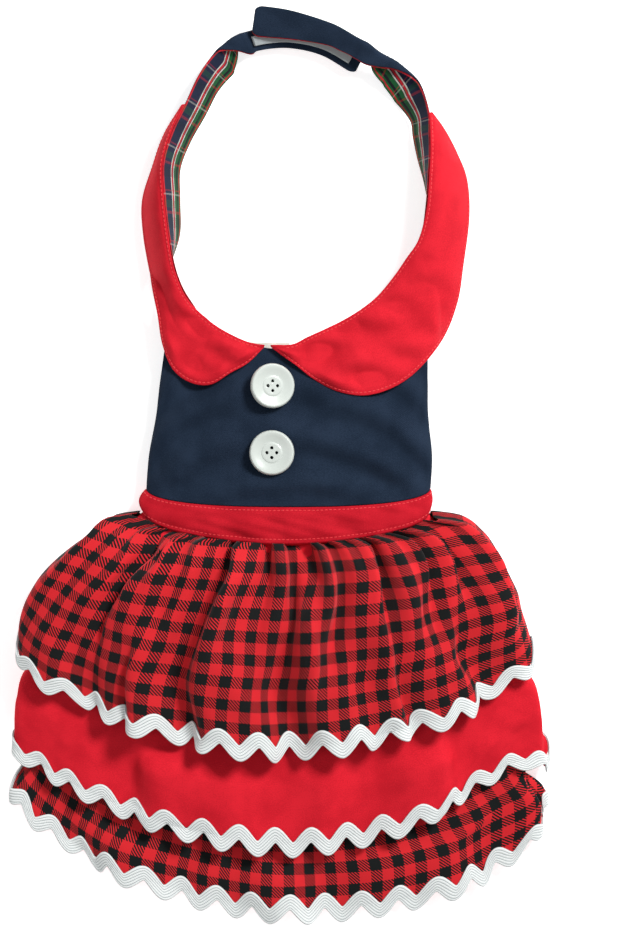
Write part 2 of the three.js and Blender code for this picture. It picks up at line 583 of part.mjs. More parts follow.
// Point on a tier: u across from side to side, v from hem (0) to waist seam (1).
const tierSurface = (tier) => (u, v) => {
  const side = 2 * u - 1;
  const down = 1 - v;
  const angle = side * turnUnder(tier);
  const y = tierY(tier, angle, down);
  const out = tiers.slice(0, tier.depth).map((outer) => outFrom(outer, angle, y));
  const inset = TIER_PITCH * out.reduce((sum, share) => sum + 1 - share, 0);
  const shown = out.reduce((share, next) => share * next, 1);
  const flare = 1 - max(1 - down, 0) ** tier.flare;
  const narrowing = mix(1, SIDE_INSET, ease(down / INSET_REACH)) * inset;
  const half = mix(torsoHalf(WAIST_SEAM_Y), tier.hem / 2, flare) - narrowing;
  const x = mix(torsoShift(WAIST_SEAM_Y), tier.shift * WAIST_WIDTH, flare) + half * sin(angle);
  const floor = mix(TORSO_FLOOR, HEM_FLOOR, ease((waistSeam(angle) - y) / TORSO_HEIGHT)) + inset;
  const puff = tier.puff * ease(down / PUFF_REACH) * sin(angle) ** 4;
  const crown = column(tier.heights, 'top', down) + puff;
  const top = TORSO_HEIGHT * crown - TORSO_FLOOR - inset;
  const middle = mix(floor, top, 0.5);
  const swell = (middle - floor) * TIER_SWELL * profile(angle, tier.section);
  const height = max(middle + swell, floor);
  const gathered = 1 - ease((abs(angle) - GATHERS_REACH.from) / GATHERS_REACH.over);
  const depth = foldDepth(tier, side, down, shown) * gathered;
  return new THREE.Vector3(x + depth * sin(angle), y, min(height, top) + depth * cos(angle));
};

// The same surface as its flat facets have it, carried on straight past its hem.
function facetedSurface(surface, columns, rows) {
  return (u, v) => {
    const across = clamp(Math.floor(u * columns), 0, columns - 1);
    const along = clamp(Math.floor(v * rows), 0, rows - 1);
    const corner = (i, j) => surface((across + i) / columns, (along + j) / rows);
    const low = corner(0, 0).lerp(corner(1, 0), u * columns - across);
    const high = corner(0, 1).lerp(corner(1, 1), u * columns - across);
    return low.lerp(high, v * rows - along);
  };
}

// Length of a tier's hem, which sets how many waves its trim has.
const HEM_SAMPLES = 60;
function hemLength(surface) {
  let length = 0;
  for (let step = 0; step < HEM_SAMPLES; step += 1) {
    length += surface(step / HEM_SAMPLES, 0).distanceTo(surface((step + 1) / HEM_SAMPLES, 0));
  }
  return length;
}

// Wavy trim: a ribbon swinging about the hem on the outside of its tier
const TRIM_END = 0.004;
function trimSurface(tier, surface, waves) {
  const outside = lifted(facetedSurface(surface, tier.columns, tier.rows), TRIM_LIFT);
  return (u, v) => {
    const swing = (TRIM_SWING / 2) * cos(u * waves * 2 * PI);
    const drop = swing + (v - 0.5) * TRIM_RIBBON;
    return outside(mix(TRIM_END, 1 - TRIM_END, u), drop / tier.length);
  };
}

const STEPS_A_WAVE = 5;
for (const tier of tiers) {
  const surface = tierSurface(tier);
  const cloth = wallGeometry(surface, { columns: tier.columns, rows: tier.rows, wall: CLOTH_WALL });
  addPiece(`skirt_tier_${tier.name}`, cloth, tier.color, 0.85);
  const waves = Math.round(hemLength(surface) / TRIM_PERIOD);
  const trimGrid = { columns: waves * STEPS_A_WAVE, rows: 1, wall: TRIM_WALL };
  addPiece(`rickrack_${tier.name}`, wallGeometry(trimSurface(tier, surface, waves), trimGrid), WHITE, 0.8);
}

// Buttons: a turned disc with a rim and a dished middle, and four holes cut through
function solidOf(geometry) {
  const bare = geometry.clone();
  bare.deleteAttribute('normal');
  bare.deleteAttribute('uv');
  const merged = mergeVertices(bare, 1e-4);
  return new wasm.Manifold(new wasm.Mesh({
    numProp: 3,
    vertProperties: new Float32Array(merged.attributes.position.array),
    triVerts: new Uint32Array(merged.index.array),
  }));
}

function geometryOf(solid) {
  const mesh = solid.getMesh();
  const geometry = new THREE.BufferGeometry();
  geometry.setAttribute('position', new THREE.Float32BufferAttribute(mesh.vertProperties, 3));
  geometry.setIndex(new THREE.Uint32BufferAttribute(mesh.triVerts, 1));
  geometry.computeVertexNormals();
  return geometry;
}

const BUTTON_SEGMENTS = 24;
const HOLE_SEGMENTS = 6;
const HOLES = 4;
function buttonGeometry() {
  const radius = BUTTON_DIAMETER / 2;
  const inner = radius - BUTTON_RIM;
  const bevel = BUTTON_THICKNESS / 4;
  const dish = BUTTON_THICKNESS - BUTTON_DISH;
  const profile = [
    [0, 0], [radius - bevel, 0], [radius, bevel], [radius, BUTTON_THICKNESS - bevel],
    [radius - BUTTON_RIM / 2, BUTTON_THICKNESS], [inner, dish], [0, dish],
  ].map(([r, z]) => new THREE.Vector2(r, z));
  const drillRadius = BUTTON_HOLE_DIAMETER / 2;
  const reach = BUTTON_HOLE_SPACING / 2;
  let body = solidOf(new THREE.LatheGeometry(profile, BUTTON_SEGMENTS).rotateX(PI / 2));
  for (let hole = 0; hole < HOLES; hole += 1) {
    const angle = (hole * 2 * PI) / HOLES;
    const drill = new THREE.CylinderGeometry(drillRadius, drillRadius, BUTTON_THICKNESS * 3, HOLE_SEGMENTS);
    drill.rotateX(PI / 2).translate(reach * cos(angle), reach * sin(angle), 0);
    body = body.subtract(solidOf(drill));
  }
  return geometryOf(body);
}

// A button lies level on the highest part of the bodice beneath it.
const SEAT_STEPS = 16;
function addButton(name, y) {
  let seat = 0;
  for (let step = 0; step < SEAT_STEPS; step += 1) {
    const angle = (step * 2 * PI) / SEAT_STEPS;
    for (const radius of [0, BUTTON_DIAMETER / 4, BUTTON_DIAMETER / 2]) {
      seat = max(seat, bodiceHeight(BUTTON_OFFSET + radius * cos(angle), y + radius * sin(angle)));
    }
  }
  const button = addPiece(name, buttonGeometry(), BUTTON_WHITE, 0.35);
  button.position.set(BUTTON_OFFSET, y, seat + CLOTH_WALL / 2 + CLEARANCE);
}
addButton('button_upper', NECKLINE_Y - BUTTON_UPPER_DROP);
addButton('button_lower', NECKLINE_Y - BUTTON_UPPER_DROP - BUTTON_PITCH);

// The origin is under the middle of the whole dress, on the surface it lies on.
dress.updateMatrixWorld(true);
const bounds = new THREE.Box3().setFromObject(dress, true);
dress.position.set(-(bounds.min.x + bounds.max.x) / 2, -(bounds.min.y + bounds.max.y) / 2, -bounds.min.z);

export default dress;
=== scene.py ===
import math

import bpy
import numpy as np
from mathutils import Matrix, Vector


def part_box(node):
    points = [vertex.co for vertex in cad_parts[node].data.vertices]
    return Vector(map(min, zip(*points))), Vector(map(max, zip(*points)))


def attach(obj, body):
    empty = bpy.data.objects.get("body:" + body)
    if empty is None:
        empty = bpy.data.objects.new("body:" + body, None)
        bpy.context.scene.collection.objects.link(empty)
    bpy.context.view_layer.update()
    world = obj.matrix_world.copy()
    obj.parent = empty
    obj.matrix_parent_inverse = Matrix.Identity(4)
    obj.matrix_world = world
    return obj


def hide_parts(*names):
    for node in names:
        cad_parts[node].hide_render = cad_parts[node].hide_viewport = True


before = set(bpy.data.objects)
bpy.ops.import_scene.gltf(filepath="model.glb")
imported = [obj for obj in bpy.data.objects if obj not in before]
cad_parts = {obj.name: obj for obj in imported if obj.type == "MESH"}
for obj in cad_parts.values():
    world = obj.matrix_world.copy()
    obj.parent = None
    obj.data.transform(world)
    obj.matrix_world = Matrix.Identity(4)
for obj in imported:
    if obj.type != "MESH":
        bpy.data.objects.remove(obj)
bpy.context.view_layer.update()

# Dog dress lying flat, seen from straight above. Shapes are worked out in millimetres in the dress's own
# place (the waist seam at y = 0) and moved into the frame at the end. Sizes and tables follow the solids',
# with finer rows where the cloth needs them.
MM = 0.001

WAIST_WIDTH = 158
TORSO_HEIGHT = 21
BODICE_LENGTH = 88
WAISTBAND_LENGTH = 20
BELLY_BAND_LENGTH = 31
WAIST_TURN = 1.6
NECK_WIDTH = 144
NECK_LENGTH = 166
NECK_OFFSET = 9
STRAP_WIDTH = 20
STRAP_FOLD_ARC = 7
STRAP_STAND = 0.7
STRAP_CORNER = 3
LINING_EDGE = -0.04
TAPE_WIDTH = 9
LABEL_WIDTH = 23
LABEL_LENGTH = 12
LABEL_SHOWS = 3.5
TIER_LENGTH_UPPER = 112
TIER_LENGTH_MIDDLE = 166
TIER_LENGTH_LOWER = 206
HEM_WIDTH_UPPER = 283
HEM_WIDTH_MIDDLE = 294
HEM_WIDTH_LOWER = 297
TURN_UNDER_ANGLE = 140
TURN_UNDER_STEP = 11
TIER_PITCH = 4
SIDE_INSET = 2.1
HEM_FLOOR = 3.6
TRIM_PERIOD = 21
TRIM_RIBBON = 9
TRIM_SWING = 8.5
BUTTON_DIAMETER = 25.4
BUTTON_THICKNESS = 3.6
BUTTON_UPPER_DROP = 21
BUTTON_OFFSET = -5
CHECK_SIZE = 6.35

SOLID_WALL = 1.6
CLOTH = 0.7
THICK_CLOTH = 1.6 * CLOTH
TRIM_CLOTH = 1.3
STRAP_CLOTH = 0.9
LINING_CLOTH = 0.6
TAPE_CLOTH = 0.9
CLEARANCE = 0.3
SEAM_ALLOWED = 0.1

WAIST_SEAM_Y = 0
WAIST_TOP_Y = WAIST_SEAM_Y + WAISTBAND_LENGTH
NECKLINE_Y = WAIST_TOP_Y + BODICE_LENGTH
NECK_CENTRE_Y = NECKLINE_Y + NECK_LENGTH / 2

button_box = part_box("button_upper")
button_middle = (np.array(button_box[0]) + np.array(button_box[1])) / 2 / MM
OFFSET = np.array([
    button_middle[0] - BUTTON_OFFSET,
    button_middle[1] - (NECKLINE_Y - BUTTON_UPPER_DROP),
    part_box("belly_band")[0][2] / MM,
])


def mix(a, b, share):
    return a + (b - a) * share


def ease(value):
    share = np.clip(value, 0, 1)
    return share * share * (3 - 2 * share)


def soft_max(a, b, blend):
    return (a + b + np.sqrt((a - b) ** 2 + blend ** 2)) / 2


def column(rows, key, at):
    """Smooth curve through one column of a table whose rows are placed by their "at" value."""
    places = np.array([row["at"] for row in rows], float)
    values = np.array([row[key] for row in rows], float)
    before = np.maximum(np.arange(len(rows)) - 1, 0)
    after = np.minimum(np.arange(len(rows)) + 1, len(rows) - 1)
    slopes = (values[after] - values[before]) / (places[after] - places[before])
    at = np.asarray(at, float)
    row = np.clip(np.searchsorted(places, at) - 1, 0, len(rows) - 2)
    span = places[row + 1] - places[row]
    share = np.clip((at - places[row]) / span, 0, 1)
    squared, cubed = share ** 2, share ** 3
    return (values[row] * (2 * cubed - 3 * squared + 1) + slopes[row] * span * (cubed - 2 * squared + share)
            + values[row + 1] * (3 * squared - 2 * cubed) + slopes[row + 1] * span * (cubed - squared))


def table(names, rows):
    """Rows of numbers with named columns. Rows without an "at" column are placed evenly from 0 to 1."""
    names = names.split()
    made = [dict(zip(names, row)) for row in rows]
    for index, row in enumerate(made):
        row.setdefault("at", index / (len(made) - 1))
    return made


def vectors(x, y, z):
    return np.stack(np.broadcast_arrays(x, y, z), axis=-1).astype(float)


def smooth_noise(at, spacing, seed):
    """Waves of about two spacings, uneven in length and height, the same each run."""
    rng = np.random.default_rng(seed)
    at = np.asarray(at, float)
    first = math.floor(at.min() / spacing) - 2
    count = math.ceil((at.max() - at.min()) / spacing) + 6
    index = np.arange(count)
    knots = (first + index + rng.uniform(-0.28, 0.28, count)) * spacing
    heights = np.where((first + index) % 2 == 0, 1, -1) * rng.uniform(0.45, 1, count)
    place = np.clip(np.searchsorted(knots, at) - 1, 0, count - 2)
    share = ease((at - knots[place]) / (knots[place + 1] - knots[place]))
    return mix(heights[place], heights[place + 1], share)


def ripples(x, y, size, seed, directions=5):
    """Soft crumple over a plane: a few plane waves in different directions."""
    rng = np.random.default_rng(seed)
    total = 0
    for _ in range(directions):
        angle = rng.uniform(0, math.pi)
        length = size * rng.uniform(0.7, 1.5)
        phase = rng.uniform(0, 2 * math.pi)
        total = total + np.sin((x * math.cos(angle) + y * math.sin(angle)) * 2 * math.pi / length + phase)
    return total / directions


# Meshes

def lines(count, length, radius):
    """Places from 0 to a length, with extra ones near both ends, where an edge is rounded."""
    near = radius * np.array([0, 0.134, 0.5])
    return np.concatenate([near, np.linspace(radius, length - radius, count), length - near[::-1]])


def run_along(line):
    """How far along a line of points each one is."""
    return np.concatenate([[0], np.cumsum(np.linalg.norm(np.diff(line, axis=0), axis=1))])


def rounding(shares, length, radius):
    """1 inside a piece, falling to 0 at its edges as a half round does."""
    distance = np.minimum(shares, 1 - shares) * length
    return np.sqrt(np.maximum(1 - (1 - np.minimum(distance / radius, 1)) ** 2, 0))


def normals_of(grid, looped=False):
    if looped:
        across = np.roll(grid, -1, axis=0) - np.roll(grid, 1, axis=0)
    else:
        across = np.gradient(grid, axis=0)
    normal = np.cross(across, np.gradient(grid, axis=1))
    length = np.linalg.norm(normal, axis=2, keepdims=True)
    return normal / np.maximum(length, 1e-9)


def lifted(grid, height, looped=False):
    return grid + normals_of(grid, looped) * np.asarray(height)[..., None]


def add_object(name, data):
    piece = bpy.data.objects.new(name, data)
    bpy.context.scene.collection.objects.link(piece)
    return piece


def grid_faces(ids):
    """Each face of a grid of point numbers, as its four corners."""
    parts = (ids[:-1, :-1], ids[1:, :-1], ids[1:, 1:], ids[:-1, 1:])
    return np.stack([part.ravel() for part in parts], axis=1)


def mesh_object(name, points, quads, uvs=None):
    """A smooth-shaded object from arrays of points in mm, faces and texture places in mm."""
    mesh = bpy.data.meshes.new(name)
    size = quads.shape[1]
    mesh.vertices.add(len(points))
    mesh.vertices.foreach_set("co", ((points + OFFSET) * MM).astype(np.float32).ravel())
    mesh.loops.add(quads.size)
    mesh.loops.foreach_set("vertex_index", quads.astype(np.int32).ravel())
    mesh.polygons.add(len(quads))
    mesh.polygons.foreach_set("loop_start", np.arange(0, quads.size, size, dtype=np.int32))
    mesh.update(calc_edges=True)
    if uvs is not None:
        layer = mesh.uv_layers.new(name="cloth")
        layer.data.foreach_set("uv", uvs[quads.ravel()].astype(np.float32).ravel())
    mesh.polygons.foreach_set("use_smooth", np.ones(len(quads), dtype=bool))
    mesh.validate()
    return add_object(name, mesh)


def shell(name, grid, wall, across, along, looped=False):
    """Closed cloth of even thickness round a grid of middle points, with rounded edges.
    across and along are the grid lines' places in the flat cloth, in mm."""
    columns, rows = grid.shape[:2]
    thick = rounding(along / along[-1], along[-1], wall)[None, :]
    if not looped:
        thick = thick * rounding(across / across[-1], across[-1], wall)[:, None]
    offset = normals_of(grid, looped) * (thick * wall / 2)[..., None]
    front = np.arange(columns * rows).reshape(columns, rows)
    inner = np.zeros((columns, rows), bool)
    inner[:, 1:-1] = True
    if not looped:
        inner[0] = inner[-1] = False
    back = front.copy()
    back[inner] = columns * rows + np.arange(inner.sum())
    points = np.concatenate([(grid + offset).reshape(-1, 3), (grid - offset)[inner]])
    places = np.stack(np.broadcast_arrays(across[:, None], along[None, :]), axis=-1)
    uvs = np.concatenate([places.reshape(-1, 2), places[inner]])
    if looped:
        front = np.concatenate([front, front[:1]])
        back = np.concatenate([back, back[:1]])
    faces = np.concatenate([grid_faces(front), grid_faces(back)[:, ::-1]])
    return mesh_object(name, points, faces, uvs)


def finish(piece, material, slot, *nodes):
    """Gives a piece its material and its body, and hides the solids it stands for."""
    piece.data.materials.clear()
    piece.data.materials.append(material)
    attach(piece, "root")
    if nodes:
        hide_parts(*nodes)
    return piece


# Materials

WEAVE_PITCH = 0.8
WEAVE_BUMP = (0.25, 0.12)
CLOTH_SPECULAR = 0.15


def node_tools(tree, shader):
    """Short makers of nodes for one material's tree."""
    def put(value, socket):
        if isinstance(value, (int, float)):
            socket.default_value = value
        elif isinstance(value, tuple):
            socket.default_value = (*value, 1)
        else:
            tree.links.new(value, socket)

    def calc(operation, a, b=0.0):
        node = tree.nodes.new("ShaderNodeMath")
        node.operation = operation
        put(a, node.inputs[0])
        put(b, node.inputs[1])
        return node.outputs[0]

    def blend(share, first, second):
        node = tree.nodes.new("ShaderNodeMix")
        node.data_type = "RGBA"
        for index, value in ((0, share), (6, first), (7, second)):
            put(value, node.inputs[index])
        return node.outputs[2]

    def noise(coordinates, scale, detail=2.0):
        node = tree.nodes.new("ShaderNodeTexNoise")
        node.inputs["Scale"].default_value = scale
        node.inputs["Detail"].default_value = detail
        tree.links.new(coordinates, node.inputs["Vector"])
        return node.outputs["Fac"]

    def cloth_places():
        node = tree.nodes.new("ShaderNodeUVMap")
        node.uv_map = "cloth"
        split = tree.nodes.new("ShaderNodeSeparateXYZ")
        tree.links.new(node.outputs[0], split.inputs[0])
        return node.outputs[0], split.outputs[0], split.outputs[1]

    def bump(height, strength, distance):
        node = tree.nodes.new("ShaderNodeBump")
        node.inputs["Strength"].default_value = strength
        node.inputs["Distance"].default_value = distance * MM
        tree.links.new(height, node.inputs["Height"])
        return node.outputs[0]

    def paint(colour, normal):
        tree.links.new(colour, shader.inputs["Base Color"])
        tree.links.new(normal, shader.inputs["Normal"])

    return calc, blend, noise, cloth_places, bump, paint


def linear(*colour):
    """Linear colour of an sRGB one given in 0 to 255."""
    shares = [value / 255 for value in colour]
    return tuple(share / 12.92 if share <= 0.04045 else ((share + 0.055) / 1.055) ** 2.4 for share in shares)


def new_material(name, roughness, sheen=0.0, specular=CLOTH_SPECULAR):
    material = bpy.data.materials.new(name)
    material.use_nodes = True
    shader = material.node_tree.nodes["Principled BSDF"]
    shader.inputs["Roughness"].default_value = roughness
    shader.inputs["Specular IOR Level"].default_value = specular
    shader.inputs["Sheen Weight"].default_value = sheen
    shader.inputs["Sheen Roughness"].default_value = 0.5
    return material, shader, node_tools(material.node_tree, shader)


def weave_height(calc, x, y, pitch=WEAVE_PITCH):
    """Height of a plain weave: threads over and under, in both directions."""
    turn = 2 * math.pi / pitch
    return calc("MULTIPLY", calc("SINE", calc("MULTIPLY", x, turn)), calc("SINE", calc("MULTIPLY", y, turn)))


def woven_material(name, colour, roughness=0.75, sheen=0.15, pitch=WEAVE_PITCH, uneven=0.12, twill=0.0):
    """Plain cloth: fine weave, soft patches of painted shade and light, uneven thread tone, and twill lines
    if asked for.
    """
    material, _, (calc, blend, noise, cloth_places, bump, paint) = new_material(name, roughness, sheen)
    place, x, y = cloth_places()
    height = weave_height(calc, x, y, pitch)
    if twill:
        slant = calc("SINE", calc("MULTIPLY", calc("ADD", x, y), 2 * math.pi / twill))
        height = calc("ADD", calc("MULTIPLY", height, 0.4), slant)
    # Large soft patches, lighter and darker: painted shade and light. The finer noise is uneven thread tone.
    shade_patches = calc("MULTIPLY", noise(place, 0.06, 4.0), uneven)
    thread = calc("MULTIPLY", noise(place, 1.6), uneven)
    shade = calc("SUBTRACT", calc("ADD", shade_patches, thread), uneven)
    dark = tuple(part * (1 - uneven) for part in colour)
    light = tuple(min(part * (1 + uneven) + 0.004, 1) for part in colour)
    share = calc("ADD", calc("MULTIPLY", shade, 3 / uneven), 0.5)
    limited = calc("MINIMUM", calc("MAXIMUM", share, 0.0), 1.0)
    paint(blend(limited, dark, light), bump(height, *WEAVE_BUMP))
    return material


def check_material(name):
    """Buffalo check: black and red squares, and hatched ones where a colour crosses the other."""
    material, _, (calc, blend, noise, cloth_places, bump, paint) = new_material(name, 0.8, 0.1)
    place, x, y = cloth_places()

    def band(at):
        return calc("GREATER_THAN", calc("FRACT", calc("DIVIDE", at, 2 * CHECK_SIZE)), 0.5)

    across, along = band(x), band(y)
    slant = calc("FRACT", calc("DIVIDE", calc("ADD", y, x), CHECK_SIZE / 3.5))
    hatch = calc("GREATER_THAN", slant, 0.42)
    both = calc("MULTIPLY", across, along)
    either = calc("SUBTRACT", calc("MAXIMUM", across, along), both)
    black_share = calc("ADD", both, calc("MULTIPLY", either, hatch))
    mottle = calc("ADD", 0.5, calc("MULTIPLY", calc("SUBTRACT", noise(place, 1.8), 0.5), 0.5))
    red = blend(mottle, linear(188, 24, 32), linear(228, 42, 50))
    black = blend(mottle, linear(6, 9, 10), linear(20, 24, 24))
    paint(blend(black_share, red, black), bump(weave_height(calc, x, y), *WEAVE_BUMP))
    return material


TARTAN_REPEAT = 24.0
TARTAN_COLOURS = {
    "navy": linear(18, 28, 54), "green": linear(22, 84, 44), "red": linear(186, 30, 42),
    "white": linear(196, 194, 184), "black": linear(14, 18, 24),
}
TARTAN_LENGTHWISE = table("tone start width", [
    ("red", 0.0, 1.2),
    ("green", 12.6, 7.4),
    ("white", 8.8, 0.8),
    ("red", 9.8, 1.3),
    ("white", 11.6, 0.8),
    ("black", 15.0, 1.6),
    ("red", 17.8, 0.9),
])
TARTAN_ACROSS = table("tone start width", [
    ("black", 3.0, 5.0),
    ("red", 9.6, 1.3),
    ("green", 12.5, 3.5),
    ("white", 18.4, 0.8),
    ("red", 20.2, 0.7),
])


def tartan_material(name):
    """Tartan lining: navy and green grounds, red and white lines lengthwise, and fainter ones across."""
    material, _, (calc, blend, noise, cloth_places, bump, paint) = new_material(name, 0.8, 0.05)
    place, x, y = cloth_places()

    def bar(at, row):
        share = calc("FRACT", calc("DIVIDE", calc("ADD", at, TARTAN_REPEAT - row["start"]), TARTAN_REPEAT))
        return calc("LESS_THAN", share, row["width"] / TARTAN_REPEAT)

    slant = calc("GREATER_THAN", calc("FRACT", calc("DIVIDE", calc("ADD", y, x), 1.0)), 0.5)
    faint = calc("ADD", calc("MULTIPLY", slant, 0.35), 0.1)
    colour = TARTAN_COLOURS["navy"]
    for row in TARTAN_LENGTHWISE:
        colour = blend(bar(y, row), colour, TARTAN_COLOURS[row["tone"]])
    for row in TARTAN_ACROSS:
        colour = blend(calc("MULTIPLY", bar(x, row), faint), colour, TARTAN_COLOURS[row["tone"]])
    # Random fine mottling, which also darkens the lining a little overall.
    mottle = calc("MULTIPLY", noise(place, 0.8), 0.25)
    paint(blend(mottle, colour, linear(20, 26, 30)), bump(weave_height(calc, x, y), *WEAVE_BUMP))
    return material


def rickrack_material(name):
    """Braided white trim: threads that run along the wave, with fine slanting crossings, and painted shade in
    the grooves between threads.
    """
    material, _, (calc, blend, _, cloth_places, bump, paint) = new_material(name, 0.7, 0.2)
    _, x, y = cloth_places()
    strand = TRIM_RIBBON / 6
    ridge = calc("ABSOLUTE", calc("SINE", calc("MULTIPLY", y, math.pi / strand)))
    cross = calc("SINE", calc("ADD", calc("MULTIPLY", x, 7.0), calc("MULTIPLY", y, 4.0)))
    height = calc("ADD", ridge, calc("MULTIPLY", cross, 0.12))
    # Grey in the grooves between threads: painted shade.
    between = calc("MULTIPLY", calc("LESS_THAN", ridge, 0.36), 0.8)
    paint(blend(between, linear(232, 236, 235), linear(150, 160, 162)), bump(height, 0.6, 0.35))
    return material


def plastic_material(name, colour):
    material, shader, (_, blend, noise, _, bump, paint) = new_material(name, 0.28, specular=0.5)
    shader.inputs["Coat Weight"].default_value = 0.3
    shader.inputs["Coat Roughness"].default_value = 0.2
    coordinates = material.node_tree.nodes.new("ShaderNodeTexCoord").outputs["Object"]
    pale = tuple(part * 0.9 for part in colour)
    paint(blend(noise(coordinates, 60.0, 3.0), pale, colour), bump(noise(coordinates, 900.0), 0.05, 0.1))
    return material


def tape_material(name, colour, pitch):
    """Hook or loop tape: a dense field of small tufts, with painted shade in the low places between them."""
    material, _, (_, blend, noise, cloth_places, bump, paint) = new_material(name, 0.9, 0.4)
    tufts = noise(cloth_places()[0], 1 / pitch, 3.0)
    # Darker where the tufts are low: painted shade.
    dark = tuple(part * 0.65 for part in colour)
    paint(blend(tufts, dark, colour), bump(tufts, 0.8, 0.5))
    return material


MATERIALS = {
    "red": woven_material("red_poplin", linear(213, 24, 42), roughness=0.85, sheen=0),
    # The collar halves get a darker copy of the red poplin: painted shade.
    "collar": woven_material("red_collar_shaded", linear(202, 23, 40), roughness=0.85, sheen=0),
    # The waistband gets a darker copy of the red poplin: painted shade.
    "band": woven_material("red_band_shaded", linear(186, 15, 34), roughness=0.85, sheen=0),
    "navy": woven_material("navy_twill", linear(22, 36, 54), roughness=0.9, sheen=0, twill=1.1, uneven=0.2),
    "check": check_material("buffalo_check"),
    "tartan": tartan_material("tartan_lining"),
    "rickrack": rickrack_material("white_rickrack"),
    "loop": tape_material("loop_tape", linear(200, 205, 204), 0.7),
    "hook": tape_material("hook_tape", linear(176, 184, 186), 0.5),
    "label": woven_material("label_satin", linear(226, 224, 214), roughness=0.5, pitch=0.5, uneven=0.05),
    "button": plastic_material("button_plastic", linear(208, 215, 209)),
    "red_thread": woven_material("red_thread", linear(232, 62, 68), pitch=0.4),
}


# Torso: bodice, belly band and waistband share one flattened section

TORSO_FLOOR = SOLID_WALL / 2
SECTION_POWER = 0.6
BELLY_SWELL = 1.15
TORSO_ROWS = table("at half shift sag", [
    (0.00, 0.518, 0.014, 1.00),
    (0.15, 0.500, 0.020, 1.00),
    (0.45, 0.497, 0.033, 0.98),
    (0.70, 0.475, 0.040, 0.88),
    (1.00, 0.475, 0.048, 0.74),
])


def torso_share(y):
    return np.clip((y - WAIST_SEAM_Y) / (NECKLINE_Y - WAIST_SEAM_Y), 0, 1)


def torso_half(y):
    return column(TORSO_ROWS, "half", torso_share(y)) * WAIST_WIDTH


def torso_shift(y):
    return column(TORSO_ROWS, "shift", torso_share(y)) * WAIST_WIDTH


def torso_middle(y):
    return TORSO_HEIGHT / 2 * column(TORSO_ROWS, "sag", torso_share(y))


def profile(angle, power):
    return np.sign(np.cos(angle)) * np.abs(np.cos(angle)) ** power


def torso_point(angle, y):
    middle = torso_middle(y)
    reach = np.where(np.cos(angle) > 0, middle - TORSO_FLOOR, TORSO_HEIGHT / 2 * BELLY_SWELL)
    height = np.maximum(middle + profile(angle, SECTION_POWER) * reach, TORSO_FLOOR)
    return vectors(torso_shift(y) + torso_half(y) * np.sin(angle), y, height)


def bodice_height(x, y):
    share = np.clip((x - torso_shift(y)) / torso_half(y), -1, 1)
    flat = np.sqrt(1 - share * share)
    middle = torso_middle(y)
    along = (y - 0.25 * torso_half(y) * share * share) / BODICE_LENGTH
    wrinkle = 0.5 * np.sin(along * 3 * 2 * math.pi) * flat
    return middle + (middle - TORSO_FLOOR) * flat ** SECTION_POWER + wrinkle


def seam_line(front, rise, power, under):
    def line(angle):
        turn = 1 - np.cos(angle)
        return front + rise * np.where(turn < 1, np.minimum(turn, 1) ** power, mix(1, under, turn - 1))
    return line


SEAM_RISE = 0.9 * WAISTBAND_LENGTH
SEAM_POWER = 0.85
waist_seam = seam_line(WAIST_SEAM_Y, SEAM_RISE, SEAM_POWER, 0.5)
waist_top = seam_line(WAIST_TOP_Y, 0.5 * WAISTBAND_LENGTH, 1.2, 1)


def ring_point(x, y):
    return vectors(NECK_OFFSET + x * NECK_WIDTH / 2, NECK_CENTRE_Y + y * NECK_LENGTH / 2, 0)


THREAD_RINGS = table("along size", [(-0.42, 0.7), (0.0, 1.0), (0.42, 0.7)])
THREAD_SIDES = 6
THREAD_GIRTH = 0.34
THREAD_FLATNESS = 0.7
STITCH_PITCH = 2.4
STITCH_SHARE = 0.72
STITCH_SAMPLE = 0.3


def stitch_faces():
    """Faces of one bead: two bands of triangles between three rings, and a fan at each end."""
    sides, faces = THREAD_SIDES, []
    for turn in range(sides):
        follow = (turn + 1) % sides
        for ring in range(2):
            a, b = ring * sides + turn, ring * sides + follow
            faces += [(a, b, b + sides), (a, b + sides, a + sides)]
        faces += [(3 * sides, follow, turn), (3 * sides + 1, 2 * sides + turn, 2 * sides + follow)]
    return np.array(faces)


def stitches(name, path):
    """Topstitching: small thread beads along a line of points, lying on its upper side."""
    run = run_along(path)
    places = np.arange(STITCH_PITCH / 2, run[-1], STITCH_PITCH)

    def sample(at):
        return np.stack([np.interp(at, run, path[:, axis]) for axis in range(3)], axis=-1)

    middle = sample(places)
    way = sample(np.minimum(places + STITCH_SAMPLE, run[-1])) - sample(np.maximum(places - STITCH_SAMPLE, 0))
    way /= np.linalg.norm(way, axis=1, keepdims=True)
    up = np.array([0, 0, 1.0]) - way * way[:, 2:3]
    up /= np.linalg.norm(up, axis=1, keepdims=True)
    across = np.cross(way, up)
    reach = way * STITCH_PITCH * STITCH_SHARE
    points = []
    for ring in THREAD_RINGS:
        for turn in range(THREAD_SIDES):
            angle = 2 * math.pi * turn / THREAD_SIDES
            side = across * math.cos(angle) + up * math.sin(angle) * THREAD_FLATNESS
            points.append(middle + reach * ring["along"] + side * THREAD_GIRTH * ring["size"])
    block = np.stack([*points, middle - reach / 2, middle + reach / 2], axis=1)
    size = block.shape[1]
    faces = (stitch_faces()[None] + np.arange(len(places))[:, None, None] * size).reshape(-1, 3)
    uvs = np.tile(np.arange(size)[None, :, None] * 0.1, (len(places), 1, 2)).reshape(-1, 2)
    piece = mesh_object(name, block.reshape(-1, 3), faces, uvs)
    return finish(piece, MATERIALS["red_thread"], "red_cloth")


# Waistband

BAND_COLUMNS = 420
BAND_ROUND = 2.4
BAND_STITCH_INSET = 1.9
BAND_STITCH_LIFT = 0.55
BAND_LIFT = 0.6
BAND_CROWN = 0.9
GROOVE_WIDTH = 0.7
EDGE_ROW = 8


def groove_at(distance):
    """A seam's shallow groove, 1 on its line."""
    return np.exp(-(distance / GROOVE_WIDTH) ** 2)


